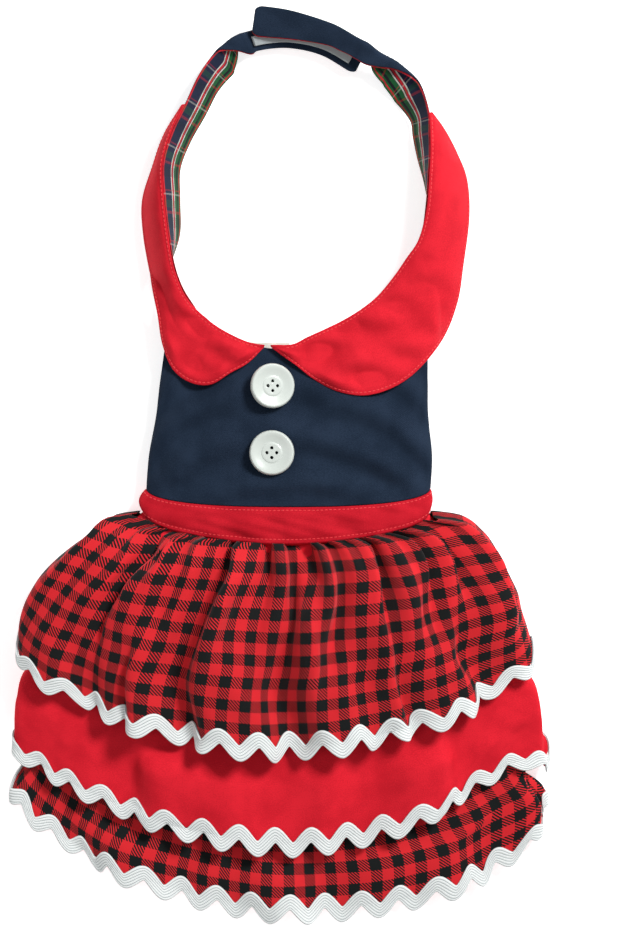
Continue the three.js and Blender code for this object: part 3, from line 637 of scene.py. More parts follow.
def band_grid(angle, along):
    """The band's points: it turns under at its lower edge, bulges at the sides and is creased in front."""
    share = along / WAISTBAND_LENGTH
    grid = torso_point(angle, mix(waist_seam(angle) + SEAM_ALLOWED, waist_top(angle) - SEAM_ALLOWED, share))
    facing = np.maximum(np.cos(angle), 0)
    inside = np.sin(math.pi * np.clip(share, 0, 1))
    bulge = np.where(np.sin(angle) < 0, 5, 2) * np.sin(angle) ** 5 * inside
    grid[..., 0] += bulge * (0.7 + 0.3 * facing)
    x, y = grid[..., 0], grid[..., 1]
    groove = groove_at(along - BAND_STITCH_INSET) + groove_at(WAISTBAND_LENGTH - along - BAND_STITCH_INSET)
    creases = ripples(x, y * 1.6, 26, 11) * 1.5 + ripples(x * 0.5 + y * 1.6, x * 0.2, 12, 12) * 1.3
    turned = 2 * np.clip(-along, 0, WAIST_TURN)
    relief = BAND_LIFT + BAND_CROWN * inside ** 0.7 + creases * inside - 0.4 * groove
    grid[..., 2] += facing * (relief - turned)
    return grid


def make_waistband():
    turned = WAIST_TURN * np.array([-1, -0.7, -0.35])
    along = np.concatenate([turned, lines(16, WAISTBAND_LENGTH, CLOTH)])
    turn = np.arange(BAND_COLUMNS) / BAND_COLUMNS
    grid = band_grid((turn * 2 * math.pi)[:, None], along[None, :])
    across = turn * BAND_ROUND * WAIST_WIDTH
    piece = shell("waistband_cloth", grid, THICK_CLOTH, across, along + WAIST_TURN, looped=True)
    finish(piece, MATERIALS["band"], "red_cloth", "waistband")
    quarter = BAND_COLUMNS // 4
    front = np.roll(grid, 2 * quarter, axis=0)
    upper = lifted(front, BAND_STITCH_LIFT, looped=True)[quarter:3 * quarter]
    for name, place in (("low", BAND_STITCH_INSET), ("high", WAISTBAND_LENGTH - BAND_STITCH_INSET)):
        line = int(np.argmin(np.abs(along - place)))
        stitches(f"waistband_stitches_{name}", upper[:, line])
    edge = float(run_along(grid[:, EDGE_ROW])[-1])


# Bodice and belly band

BODICE_TOP_ROWS = table("at x y", [
    (0.00, -1.01, -0.90),
    (0.10, -0.80, -0.76),
    (0.22, -0.61, -0.86),
    (0.34, -0.40, -0.95),
    (0.46, -0.18, -1.00),
    (0.60, 0.12, -0.93),
    (0.72, 0.38, -0.84),
    (0.82, 0.62, -0.71),
    (0.91, 0.80, -0.56),
    (1.00, 0.99, -0.62),
])


ARCH_HEIGHT = 2.3
ARCH_PITCH = 27
CRUMPLE_HEIGHT = 1.2
TUCK_HEIGHT = 1.3
TUCK_REACH = 8


def bodice_folds(x, y, u, v):
    """Arched folds, calmer round the buttons and under the collar, and small tucks at the waist seam."""
    inside = np.sin(math.pi * u) ** 0.5 * np.minimum(v * 8, 1)
    arch = np.sin((y + 0.006 * (x - 2) ** 2) * 2 * math.pi / ARCH_PITCH + ripples(x, y, 70, 21))
    calm = mix(0.45, 1, ease(np.abs(x - BUTTON_OFFSET) / 30)) * mix(1, 0.35, ease((v - 0.7) / 0.25))
    crumple = CRUMPLE_HEIGHT * ripples(x, y * 1.4, 38, 23)
    tucks = TUCK_HEIGHT * ripples(x, y * 0.25, 11, 24) * np.exp(-v * BODICE_LENGTH / TUCK_REACH)
    return inside * (calm * (ARCH_HEIGHT * arch + crumple) + tucks)


def make_bodice():
    across = lines(170, WAIST_WIDTH, CLOTH)
    along = lines(104, BODICE_LENGTH, CLOTH)
    u = (across / WAIST_WIDTH)[:, None]
    v = (along / BODICE_LENGTH)[None, :]
    angle = mix(-math.pi / 2, math.pi / 2, u)
    low = torso_point(angle, waist_top(angle) + SEAM_ALLOWED)
    top = ring_point(column(BODICE_TOP_ROWS, "x", u), column(BODICE_TOP_ROWS, "y", u))
    y = mix(low[..., 1], top[..., 1], v)
    x = mix(torso_shift(y) + torso_half(y) * np.sin(angle), mix(low[..., 0], top[..., 0], v), ease(v))
    height = bodice_height(x, y) + bodice_folds(x, y, u, v)
    piece = shell("bodice_cloth", vectors(x, y, height), CLOTH, across, along)
    finish(piece, MATERIALS["navy"], "navy_cloth", "bodice")


def make_belly_band():
    width = 1.25 * WAIST_WIDTH
    across = lines(90, width, CLOTH)
    along = lines(18, BELLY_BAND_LENGTH, CLOTH)
    edge = 0.035
    angle = mix(math.pi / 2 + edge, 1.5 * math.pi - edge, across / width)[:, None]
    grid = torso_point(angle, waist_top(angle) + 2 * SEAM_ALLOWED + along[None, :])
    piece = shell("belly_band_cloth", grid, CLOTH, across, along)
    finish(piece, MATERIALS["navy"], "navy_cloth", "belly_band")


# Neck loop

LEFT_STRAP_ROWS = table("x y height lean fold droop width", [
    (-0.79, -0.74, 0.66, -78, 0, 10, 1),
    (-0.89, -0.60, 0.86, -45, 0, 10, 1),
    (-0.95, -0.44, 1.06, -12, 0, 10, 1),
    (-0.99, -0.23, 1.04, 15, 0, 10, 1),
    (-1.02, 0.00, 1.01, 22, 0, 10, 1),
    (-1.03, 0.23, 0.98, 25, 0, 10, 1),
    (-0.96, 0.44, 0.96, 29, 0, 10, 1),
    (-0.85, 0.64, 0.92, 33, 0, 10, 1),
    (-0.76, 0.81, 0.90, 36, 0, 12, 1),
    (-0.65, 0.95, 0.84, 42, 0.06, 14, 1),
    (-0.54, 1.04, 0.72, 56, 0.36, 18, 0.9),
    (-0.44, 1.10, 0.62, 70, 0.8, 18, 0.66),
    (-0.32, 1.14, 0.54, 80, 1, 16, 0.60),
    (-0.05, 1.17, 0.46, 80, 1, 15, 0.64),
    (0.25, 1.12, 0.46, 80, 1, 15, 0.67),
    (0.53, 0.99, 0.46, 80, 1, 15, 0.70),
])
RIGHT_STRAP_ROWS = table("x y height lean fold droop width", [
    (0.90, -0.45, 0.56, -78, 0, 10, 1),
    (0.95, -0.32, 0.80, -50, 0, 10, 1),
    (0.98, -0.17, 1.00, -25, 0, 10, 1),
    (1.00, 0.00, 1.07, -5, 0, 10, 1),
    (1.01, 0.14, 1.07, 5, 0, 10, 1),
    (1.02, 0.28, 1.03, 17, 0, 10, 1),
    (1.02, 0.43, 0.98, 25, 0, 10, 1),
    (1.01, 0.58, 0.93, 31, 0, 10, 1),
    (0.94, 0.77, 0.62, 56, 0.12, 10, 1),
    (0.79, 0.90, 0.53, 70, 0.27, 10, 1),
    (0.65, 0.97, 0.64, 74, 0.44, 12, 1),
    (0.53, 1.04, 0.76, 80, 0.8, 15, 0.56),
    (0.39, 1.11, 0.90, 80, 1, 15, 0.56),
    (0.25, 1.17, 0.93, 80, 1, 15, 0.62),
    (-0.05, 1.25, 0.94, 80, 1, 15, 0.78),
    (-0.32, 1.285, 0.94, 80, 1, 15, 0.84),
])


def strap_grid(rows, outward, u, v):
    """Points of a strap that hangs from its outer line; what is folded over lies inward above it."""
    u = np.asarray(u, float)
    at = u[:, None]
    v = np.broadcast_to(v, (len(u), v.shape[-1]))
    edge = ring_point(column(rows, "x", at), column(rows, "y", at))
    way = np.gradient(edge[:, 0], u, axis=0)
    way /= np.linalg.norm(way, axis=1, keepdims=True)
    out = np.stack([-way[:, 1] * outward, way[:, 0] * outward], axis=1)[:, None, :]
    edge[..., 2] = column(rows, "height", at) * STRAP_WIDTH + STRAP_STAND
    width = STRAP_WIDTH * column(rows, "width", at)
    bend = np.clip(column(rows, "fold", at), 0, 1) * (width + STRAP_FOLD_ARC) - STRAP_FOLD_ARC
    over = np.radians(column(rows, "droop", at))
    down = -np.radians(90 + column(rows, "lean", at))
    hang = np.clip(bend + STRAP_FOLD_ARC / 2, 0, width)
    reach = v * width - hang
    outwards = np.zeros_like(reach)
    upwards = np.zeros_like(reach)
    steps = 24
    for step in range(steps):
        along = hang + reach * (step + 0.5) / steps
        heading = mix(over, down, ease((along - bend) / STRAP_FOLD_ARC))
        outwards += np.cos(heading) * reach / steps
        upwards += np.sin(heading) * reach / steps
    points = np.broadcast_to(edge, (*reach.shape, 3)).copy()
    points[..., :2] += out * outwards[..., None]
    points[..., 2] += upwards
    return points


def strap_length(rows):
    at = np.linspace(0, 1, 200)
    return float(run_along(ring_point(column(rows, "x", at), column(rows, "y", at)))[-1])


def make_strap(side, rows, outward, edge_until, tapes=()):
    """A strap and its lining, whose edge shows beside it up to a share of the length."""
    length = strap_length(rows)
    across = lines(230, length, CLOTH)
    along = lines(20, STRAP_WIDTH, CLOTH)
    run = (along / STRAP_WIDTH)[None, :]
    wave = 0.25 * smooth_noise(across, 14, 31 if outward > 0 else 32)[:, None] * np.sin(math.pi * run)
    to_end = np.clip((across - length) / STRAP_CORNER + 1, 0, 1)[:, None]
    narrowed = 1 - (1 - np.sqrt(1 - 0.95 * to_end ** 2)) * 2 * STRAP_CORNER / (0.75 * STRAP_WIDTH)

    def layer(edge, apart):
        first = edge * ease((edge_until - across / length) / 0.06)[:, None]
        share = 0.5 + (mix(first, 1, run) - 0.5) * narrowed
        return lifted(strap_grid(rows, outward, across / length, share), wave + apart)

    apart = outward * ((STRAP_CLOTH + LINING_CLOTH) / 4 + 0.05)
    strap = shell(f"strap_cloth_{side}", layer(0, apart), STRAP_CLOTH, across, along)
    finish(strap, MATERIALS["navy"], "navy_cloth", f"neck_strap_{side}")
    lining = shell(f"lining_cloth_{side}", layer(LINING_EDGE, -apart), LINING_CLOTH, across, along)
    finish(lining, MATERIALS["tartan"], "tartan_lining", f"strap_lining_{side}")


TAPE_FROM = 0.775
TAPE_TO = 0.985
TAPE_SHARE = 0.17
TAPE_EDGE = 0.5


def make_tapes():
    length = TAPE_SHARE * strap_length(LEFT_STRAP_ROWS)
    across = lines(40, length, TAPE_EDGE)
    along = lines(12, TAPE_WIDTH, TAPE_EDGE)
    inset = 0.5 - TAPE_WIDTH / STRAP_WIDTH / 2
    v = mix(inset, 1 - inset, along / TAPE_WIDTH)
    grid = strap_grid(LEFT_STRAP_ROWS, 1, mix(TAPE_FROM, TAPE_TO, across / length), v)
    tapes = []
    for name, lift in (("loop", 1.3), ("hook", 2.6)):
        piece = shell(f"{name}_tape", lifted(grid, lift), TAPE_CLOTH, across, along)
        tapes.append(finish(piece, MATERIALS[name], "white_tape", f"{name}_strip"))
    return tapes


LABEL_PLACE = (-0.22, -1.0)
LABEL_DROP = 2.2
LABEL_EDGE = 0.4
LABEL_CLOTH = 0.5


def make_label():
    across = lines(30, LABEL_WIDTH, LABEL_EDGE)
    along = lines(16, LABEL_LENGTH, LABEL_EDGE)
    middle = ring_point(*LABEL_PLACE)
    x = (middle[0] - LABEL_WIDTH / 2 + across)[:, None]
    y = (NECKLINE_Y + LABEL_SHOWS - LABEL_LENGTH + along)[None, :]
    height = bodice_height(middle[0], NECKLINE_Y) - LABEL_DROP + 0.15 * np.sin(x * 0.7)
    piece = shell("label_cloth", vectors(x, y, height), LABEL_CLOTH, across, along)
    finish(piece, MATERIALS["label"], "label_cloth", "neck_label")


# Collar halves

LEFT_COLLAR_ROWS = table("inX inY outX outY inner edge", [
    (-0.250, -0.980, -0.256, -0.990, 0.72, 0.70),
    (-0.350, -0.965, -0.380, -1.100, 0.72, 0.68),
    (-0.450, -0.935, -0.520, -1.170, 0.72, 0.66),
    (-0.560, -0.885, -0.670, -1.245, 0.72, 0.62),
    (-0.650, -0.835, -0.825, -1.230, 0.74, 0.50),
    (-0.740, -0.770, -0.960, -1.140, 0.76, 0.34),
    (-0.820, -0.700, -1.040, -0.970, 0.82, 0.20),
    (-0.890, -0.600, -1.080, -0.770, 0.92, 0.10),
    (-0.950, -0.440, -1.135, -0.530, 1.08, 0.08),
    (-0.990, -0.230, -1.195, -0.240, 1.07, 0.08),
    (-1.020, 0.000, -1.205, 0.000, 1.04, 0.08),
    (-1.030, 0.230, -1.120, 0.230, 1.01, 0.25),
    (-0.960, 0.440, -1.030, 0.430, 1.01, 0.50),
    (-0.860, 0.620, -0.880, 0.620, 0.98, 1.04),
])
RIGHT_COLLAR_ROWS = table("inX inY outX outY inner edge", [
    (-0.208, -0.980, -0.202, -0.990, 0.72, 0.70),
    (-0.040, -0.975, -0.020, -1.110, 0.72, 0.68),
    (0.080, -0.925, 0.130, -1.210, 0.72, 0.66),
    (0.220, -0.870, 0.330, -1.295, 0.72, 0.64),
    (0.360, -0.810, 0.550, -1.315, 0.72, 0.60),
    (0.500, -0.735, 0.780, -1.245, 0.72, 0.50),
    (0.620, -0.650, 0.965, -1.115, 0.74, 0.32),
    (0.740, -0.525, 1.140, -0.915, 0.76, 0.16),
    (0.840, -0.400, 1.245, -0.680, 0.84, 0.09),
    (0.930, -0.280, 1.290, -0.430, 0.96, 0.08),
    (0.990, -0.080, 1.335, -0.110, 1.06, 0.08),
    (1.010, 0.140, 1.318, 0.140, 1.09, 0.10),
    (1.020, 0.320, 1.240, 0.315, 1.03, 0.18),
    (1.018, 0.460, 1.140, 0.465, 0.99, 0.45),
    (1.010, 0.560, 1.030, 0.570, 0.97, 1.02),
])
COLLAR_LIFT = 2.5
COLLAR_WIDTH = 34
STITCH_INSET = 1.8


def collar_support(x, y):
    shift = torso_shift(y)
    beside = np.abs(x - shift) / torso_half(y)
    beyond = (y - NECKLINE_Y) / NECK_LENGTH
    past = 1 - ease((beside - 1.02) / 0.2)
    below = 1 - ease((beyond - 0.2) / 0.1)
    return (bodice_height(shift + (x - shift) * 0.93, y) + SOLID_WALL + 3 * CLEARANCE) * past * below


def collar_line(rows, edge, at):
    """Points of a collar half's inner ("in") or outer ("out") edge."""
    return ring_point(column(rows, edge + "X", at), column(rows, edge + "Y", at))


def collar_grid(rows, u, run, seed):
    """The collar rises from the strap, lies over what supports it, and is wrinkled away from its edges."""
    inner, outer = collar_line(rows, "in", u), collar_line(rows, "out", u)
    start = column(rows, "inner", u) * STRAP_WIDTH + STRAP_STAND + COLLAR_LIFT
    end = column(rows, "edge", u) * STRAP_WIDTH + SOLID_WALL / 2
    grid = mix(inner, outer, run[..., None])
    x, y = grid[..., 0], grid[..., 1]
    wide = np.linalg.norm(outer - inner, axis=2)
    edge = np.minimum(run * wide, (1 - run) * wide)
    folds = ripples(x * 1.2, y, 32, seed) * 3.6 + ripples((x - y) * 0.6, x + y, 20, seed + 1) * 2.2
    folds = np.maximum(folds + 1.2, -0.3)
    calm = np.minimum(edge / 6, 1) * (0.25 + 0.75 * ease((0.75 - u) / 0.4))
    own = mix(start, end, run ** 1.8)
    grid[..., 2] = soft_max(own, collar_support(x, y), CLEARANCE) + folds * calm
    grid[..., 2] += 0.35 * np.minimum(edge / 4, 1) - 0.3 * groove_at(edge - STITCH_INSET)
    return grid


def sew_collar(side, grid, along, width):
    """Topstitching near both long edges, where the collar is wide enough for it."""
    inset = np.clip(STITCH_INSET / np.maximum(width, 2 * STITCH_INSET), 0, 0.5)
    keep = np.nonzero(width > 3.2 * STITCH_INSET)[0]
    top = lifted(grid, CLOTH * 0.8)
    index = np.arange(len(grid))
    sewn = []
    for name, share in (("outer", 1 - inset), ("inner", inset)):
        place = np.interp(share, along / COLLAR_WIDTH, np.arange(len(along)))
        low = np.floor(place).astype(int)
        high = np.minimum(low + 1, len(along) - 1)
        path = mix(top[index, low], top[index, high], (place - low)[:, None])
        sewn.append(stitches(f"collar_stitches_{side}_{name}", path[keep[0]:keep[-1]]))
    return sewn


def make_collar(side, rows, outward, seed):
    length = float(run_along(collar_line(rows, "out", np.linspace(0, 1, 300)))[-1])
    across = lines(240, length, THICK_CLOTH)
    along = lines(46, COLLAR_WIDTH, THICK_CLOTH)
    grid = collar_grid(rows, (across / length)[:, None], (along / COLLAR_WIDTH)[None, :], seed)
    if outward < 0:
        grid, across = grid[::-1], across[-1] - across[::-1]
    piece = shell(f"collar_cloth_{side}", grid, THICK_CLOTH, across, along)
    finish(piece, MATERIALS["collar"], "red_cloth", f"collar_{side}")
    width = np.linalg.norm(grid[:, -1] - grid[:, 0], axis=1)
    sewn = sew_collar(side, grid, along, width)


# Tiers

TIERS = [
    dict(
        name="upper", length=TIER_LENGTH_UPPER, hem=HEM_WIDTH_UPPER, tilt=0.017,
        rise=0.518, power=0.8, section=0.6, puff=0, depth=0, material="check", slot="check_cloth",
        columns=520, rows=80, spare=1.14, seed=101, shorter=0, pull=0,
        heights=table("at top", [(0, 1), (0.12, 1.46), (0.30, 1.72), (0.55, 1.76), (1, 1.38)]),
        waves=table("spacing start end seed", [
            (5.5, 0.3, 0.0, 1),
            (9.5, 1.0, 0.1, 2),
            (17, 1.0, 0.5, 3),
            (34, 0.2, 1.0, 4),
        ]),
        folds=table("at to turn width first last", [
            (-0.42, -0.33, -85, 6, 0.0, 1.0),
            (-0.35, -0.22, 40, 9, 0.0, 0.8),
            (-0.28, -0.24, 100, 5, 0.5, 1.3),
            (-0.16, -0.10, 55, 8, 0.0, 0.9),
            (0.02, 0.03, 60, 5, 0.0, 0.6),
            (0.05, 0.085, -50, 3, 0.1, 1.0),
            (0.172, 0.225, -110, 6, 0.0, 1.3),
            (0.40, 0.42, -55, 6, 0.0, 0.8),
        ]),
    ),
    dict(
        name="middle", length=TIER_LENGTH_MIDDLE, hem=HEM_WIDTH_MIDDLE, flare=2.4, shift=-0.0076, tilt=0.038,
        rise=0.283, level=0.2, bias=-0.2, section=0.6, puff=0.15, depth=1, material="red", slot="red_cloth",
        columns=300, rows=60, spare=1.03, seed=202, shorter=0, pull=0,
        heights=table("at top", [(0, 1), (0.20, 1.14), (0.45, 1.14), (0.70, 1.04), (0.84, 0.90), (1, 0.72)]),
        waves=table("spacing start end seed", [
            (12, 1.0, 0.05, 5),
            (26, 0.5, 0.4, 6),
            (45, 0.2, 0.8, 7),
        ]),
        folds=table("at to turn width first last", [
            (-0.30, -0.24, 70, 14, 0.3, 1.2),
            (-0.08, -0.05, -35, 20, 0.3, 1.2),
            (0.30, 0.32, -70, 13, 0.3, 1.2),
        ]),
    ),
    dict(
        name="lower", length=TIER_LENGTH_LOWER, hem=HEM_WIDTH_LOWER, flare=1.8, shift=-0.0076, tilt=0.06,
        rise=0.277, level=-0.2, bias=0.02, section=0.4, puff=0.15, depth=2,
        material="check", slot="check_cloth",
        columns=300, rows=84, spare=1.03, seed=303, shorter=0.012, pull=0.02,
        heights=table("at top", [(0, 1), (0.15, 1.01), (0.35, 1.08), (0.60, 0.90), (0.80, 0.62), (1, 0.42)]),
        waves=table("spacing start end seed", [
            (12, 1.0, 0.05, 8),
            (24, 0.5, 0.5, 9),
            (45, 0.2, 0.8, 10),
        ]),
        folds=table("at to turn width first last", [
            (-0.34, -0.30, 35, 16, 0.6, 1.1),
            (0.25, 0.26, -35, 16, 0.6, 1.1),
        ]),
    ),
]
TRIM_REACH = (TRIM_SWING + TRIM_RIBBON) / 2
STEEPEST = 1.75
COVERED_GATHERS = 0.12
GATHERS_LEVEL = 50
RISE_LEVEL = 60
PEEK_RIGHT = 0.16
PEEK_LEFT = 0.06
SPREAD_ROWS = table("at out shift", [
    (0.00, 0.00, 2.2),
    (0.03, 0.24, 3.2),
    (0.15, 0.43, 4.0),
    (0.26, 0.57, 2.2),
    (0.38, 0.69, 0.2),
    (0.50, 0.79, -1.4),
    (0.61, 0.86, -2.3),
    (0.73, 0.91, -4.2),
    (0.85, 0.96, -4.4),
    (1.00, 1.00, -3.4),
])


def tier_y(tier, angle, down):
    turn = 1 - np.cos(angle)
    if tier["depth"]:
        lean = tier["level"] * np.minimum(1.6 * np.cos(angle), 1) - tier["bias"] * np.sin(2 * angle)
        hem = np.sin(angle) ** 2 * (1 + lean)
    else:
        hem = np.minimum(turn, 1) ** tier["power"]
    front = mix(np.minimum(turn, 1) ** SEAM_POWER, hem, down)
    under = 1 + (turn - 1) * mix(-0.5, 0.6, down)
    tilt = tier["tilt"] * down * (tier["hem"] / 2) * np.sin(angle)
    climb = mix(SEAM_RISE, tier["rise"] * tier["length"], down) * np.where(turn < 1, front, under)
    drop = tier["length"] * down * (1 - tier["shorter"])
    return WAIST_SEAM_Y - 0.2 - drop + climb - tilt


def tier_base(tier, side, down):
    """Points, outward directions and the share shown, of a tier without its gathers."""
    angle = side * math.radians(TURN_UNDER_ANGLE - TURN_UNDER_STEP * tier["depth"])
    y = tier_y(tier, angle, down)
    inset, shown = 0 * y, 1 + 0 * y
    for outer in TIERS[:tier["depth"]]:
        out = ease((tier_y(outer, angle, 1) - TRIM_REACH - y) / (2 * TRIM_REACH))
        inset = inset + TIER_PITCH * (1 - out)
        shown = shown * out
    if tier["depth"]:
        flare = 1 - np.maximum(1 - down, 0) ** tier["flare"]
        shift = mix(torso_shift(WAIST_SEAM_Y), tier["shift"] * WAIST_WIDTH, flare)
    else:
        flare = column(SPREAD_ROWS, "out", down)
        shift = column(SPREAD_ROWS, "shift", down)
    narrowing = mix(1, SIDE_INSET, ease(down / 0.2)) * inset
    half = mix(torso_half(WAIST_SEAM_Y), tier["hem"] / 2, flare) - narrowing
    pulled = tier["pull"] * np.maximum(np.sin(angle), 0) ** 2 * ease((down - 0.75) / 0.25)
    beyond = np.where(angle > 0, PEEK_RIGHT, PEEK_LEFT) * min(tier["depth"], 1)
    peek = beyond * ease((np.abs(angle) - math.pi / 2) / 0.7) * ease((down - 0.8) / 0.2)
    x = shift + half * ((1 - pulled) * np.sin(angle) + peek * np.sign(angle))
    floor = mix(TORSO_FLOOR, HEM_FLOOR, ease((waist_seam(angle) - y) / TORSO_HEIGHT)) + inset
    puff = tier["puff"] * ease(down / 0.5) * np.sin(angle) ** 4
    top = TORSO_HEIGHT * (column(tier["heights"], "top", down) + puff) - TORSO_FLOOR - inset
    middle = mix(floor, top, 0.5)
    height = np.maximum(middle + (middle - floor) * 1.08 * profile(angle, tier["section"]), floor)
    return vectors(x, y, np.minimum(height, top)), np.broadcast_to(angle, y.shape), shown


def running_mean(values, window):
    """Average along the first axis over a window, with the ends held."""
    pad = window // 2
    held = np.concatenate([np.repeat(values[:1], pad, axis=0), values, np.repeat(values[-1:], pad, axis=0)])
    total = np.concatenate([np.zeros((1, values.shape[1])), np.cumsum(held, axis=0)])
    size = 2 * pad + 1
    return ((total[size:] - total[:-size]) / size)[:len(values)]


def slope_for(kept):
    """Steepest slope of a wave whose width is that share of its length."""
    steepest = np.linspace(0, 2.2, 60)
    phase = np.linspace(0, 2 * math.pi, 60, endpoint=False)
    shares = np.cos(steepest[:, None] * np.sin(phase)[None, :]).mean(axis=1)
    return np.interp(-kept, -shares, steepest)


def gather_slopes(tier, across, down, side, kept):
    """Slopes of the gathered cloth: fine puckers at the waist, broader folds at the hem, and single folds."""
    depth = np.clip(down, 0, 1)[None, :]
    weight = np.zeros((len(across), len(down)))
    for wave in tier["waves"]:
        seed = tier["seed"] + int(wave["seed"])
        drift = 0.5 * wave["spacing"] * smooth_noise(down * 100 + 10 * wave["seed"], 45, seed + 50)
        waves = smooth_noise(across[:, None] + drift[None, :], wave["spacing"], seed)
        weight += waves * mix(wave["start"], wave["end"], 1 - (1 - depth) ** 2)
    weight /= math.sqrt(2) * np.sqrt(np.mean(weight ** 2, axis=0, keepdims=True))
    slopes = np.zeros_like(weight)
    for fold in tier["folds"]:
        where = np.interp(mix(fold["at"], fold["to"], depth), side, across)
        near = (across[:, None] - where) / fold["width"]
        reach = ease((depth - fold["first"]) / 0.4 + 0.3) * ease((fold["last"] - depth) / 0.45)
        turn = np.exp(-near ** 2) - 0.25 * np.exp(-(near / 4) ** 2)
        slopes = slopes + math.radians(fold["turn"]) * turn * reach
    window = int(GATHERS_LEVEL * len(across) / across[-1])
    left = kept / running_mean(np.cos(slopes), window)
    return slopes + STEEPEST * np.tanh(slope_for(np.clip(left, 0.35, 1)) * weight / STEEPEST)


def gathered(tier, across, down):
    """The tier's cloth, gathered at the waist: each row keeps its whole length and buckles to fit."""
    sides = np.linspace(-1, 1, 700)
    hem, _, _ = tier_base(tier, sides[:, None], np.array([[1.0]]))
    run = run_along(hem[:, 0])
    side = np.interp(across / across[-1], run / run[-1], sides)
    base, angle, shown = tier_base(tier, side[:, None], down[None, :])
    way = np.gradient(base, across, axis=0)
    kept = np.linalg.norm(way, axis=2)
    way /= np.maximum(kept, 0.05)[..., None]
    slopes = gather_slopes(tier, across, down, side, kept)
    step = across[-1] / len(across)
    gap = np.diff(across)[:, None]

    def summed(part):
        return np.concatenate([np.zeros((1, len(down))), np.cumsum((part[1:] + part[:-1]) / 2 * gap, axis=0)])

    def levelled(values, window):
        size = int(window / step)
        return values - running_mean(running_mean(values, size), size // 2)

    along, up = summed(np.cos(slopes)), summed(np.sin(slopes))
    fade = 1 - ease((np.abs(angle) - 1.1) / 0.7)
    if tier["depth"]:
        fade = fade * mix(COVERED_GATHERS, 1, shown)
    pinned = mix(0.85, 1, ease(down / 0.05))[None, :]
    base += way * (levelled(along, GATHERS_LEVEL) * fade)[..., None]
    deepened = mix(1.45, 1, ease(down / 0.4))[None, :]
    rise = levelled(up, RISE_LEVEL) * fade * pinned * deepened
    base[..., 0] += rise * np.sin(angle)
    base[..., 2] += rise * np.cos(angle)
    return base


def hem_length(tier):
    base, _, _ = tier_base(tier, np.linspace(-1, 1, 400)[:, None], np.array([[1.0]]))
    return float(run_along(base[:, 0])[-1])


def sampler(grid, across, down):
    """Points between the lines of a grid, by the flat cloth's places."""
    def sample(x, share):
        i = np.interp(x, across, np.arange(len(across)))
        j = np.interp(share, down, np.arange(len(down)))
        i0 = np.clip(np.floor(i).astype(int), 0, len(across) - 2)
        j0 = np.clip(np.floor(j).astype(int), 0, len(down) - 2)
        fi, fj = (i - i0)[..., None], (j - j0)[..., None]
        low = mix(grid[i0, j0], grid[i0 + 1, j0], fi)
        high = mix(grid[i0, j0 + 1], grid[i0 + 1, j0 + 1], fi)
        return mix(low, high, fj)
    return sample


TRIM_EDGE = 0.6
TRIM_END = 0.8
TRIM_GAP = 0.15


def lobe(phase):
    """A wave from -1 to 1, with rounded crests and sharper troughs."""
    return 2 * ((1 + np.cos(phase)) / 2) ** 0.6 - 1


def make_trim(tier, grid, across, down):
    """Wavy trim sewn over the hem: rounded outer lobes, sharper inner notches."""
    cloth, trim_normal = sampler(grid, across, down), sampler(-normals_of(grid), across, down)
    waves = round(across[-1] / TRIM_PERIOD)
    route = np.clip(lines(waves * 30, across[-1], TRIM_EDGE), TRIM_END, across[-1] - TRIM_END)
    width = lines(9, TRIM_RIBBON, TRIM_EDGE)
    x = route[:, None] + 0 * width[None, :]
    phase = 2 * math.pi * x * waves / across[-1]
    outer = -TRIM_SWING / 2 * lobe(phase) - TRIM_RIBBON / 2
    inner = TRIM_SWING / 2 * lobe(phase + math.pi) + TRIM_RIBBON / 2
    drop = mix(inner, outer, (width / TRIM_RIBBON)[None, :])
    down_at = 1 - drop / tier["length"]
    curl = 0.5 * np.cos(phase * 0.5 + 1) ** 2 + 0.35 * smooth_noise(x, 17, tier["seed"] + 7)
    lift = (CLOTH + TRIM_CLOTH) / 2 + TRIM_GAP + curl * ease(-drop / TRIM_REACH)
    points = (cloth(x, down_at) + trim_normal(x, down_at) * lift[..., None])[:, ::-1]
    piece = shell(f"rickrack_cloth_{tier['name']}", points, TRIM_CLOTH, route, width)
    return finish(piece, MATERIALS["rickrack"], "white_trim", f"rickrack_{tier['name']}")


def make_tier(tier):
    cloth = hem_length(tier) * tier["spare"]
    across = lines(tier["columns"], cloth, CLOTH)
    inside = lines(tier["rows"], tier["length"], CLOTH) / tier["length"]
    beyond = 1 + np.linspace(0, TRIM_REACH * 1.3 / tier["length"], 9)[1:]
    down = np.concatenate([inside, beyond])
    grid = gathered(tier, across, down)
    flat = grid[:, :len(inside)][:, ::-1]
    along = (1 - inside[::-1]) * tier["length"]
    piece = shell(f"tier_cloth_{tier['name']}", flat, CLOTH, across, along)
    finish(piece, MATERIALS[tier["material"]], tier["slot"], f"skirt_tier_{tier['name']}")
    trim = make_trim(tier, grid, across, down)
    drop = float(np.linalg.norm(np.diff(flat, axis=1), axis=2).sum(axis=1).mean())


# Buttons

BUTTON_ROWS = table("radius height", [
    (0.91, 0.00),
    (0.97, 0.10),
    (1.00, 0.33),
    (0.99, 0.66),
    (0.96, 0.89),
    (0.92, 1.00),
    (0.85, 0.98),
    (0.75, 0.86),
    (0.62, 0.72),
    (0.51, 0.62),
    (0.465, 0.60),
    (0.44, 0.66),
    (0.41, 0.70),
    (0.36, 0.69),
])
BUTTON_TURNS = 72
BUTTON_FIT = 0.98
BUTTON_BEVEL = 0.12
BUTTON_HOLE = 0.9
BUTTON_HOLE_PITCH = 2.7
BUTTON_HOLES = 4
DRILL_LENGTH = 20
DRILL_SIDES = 24


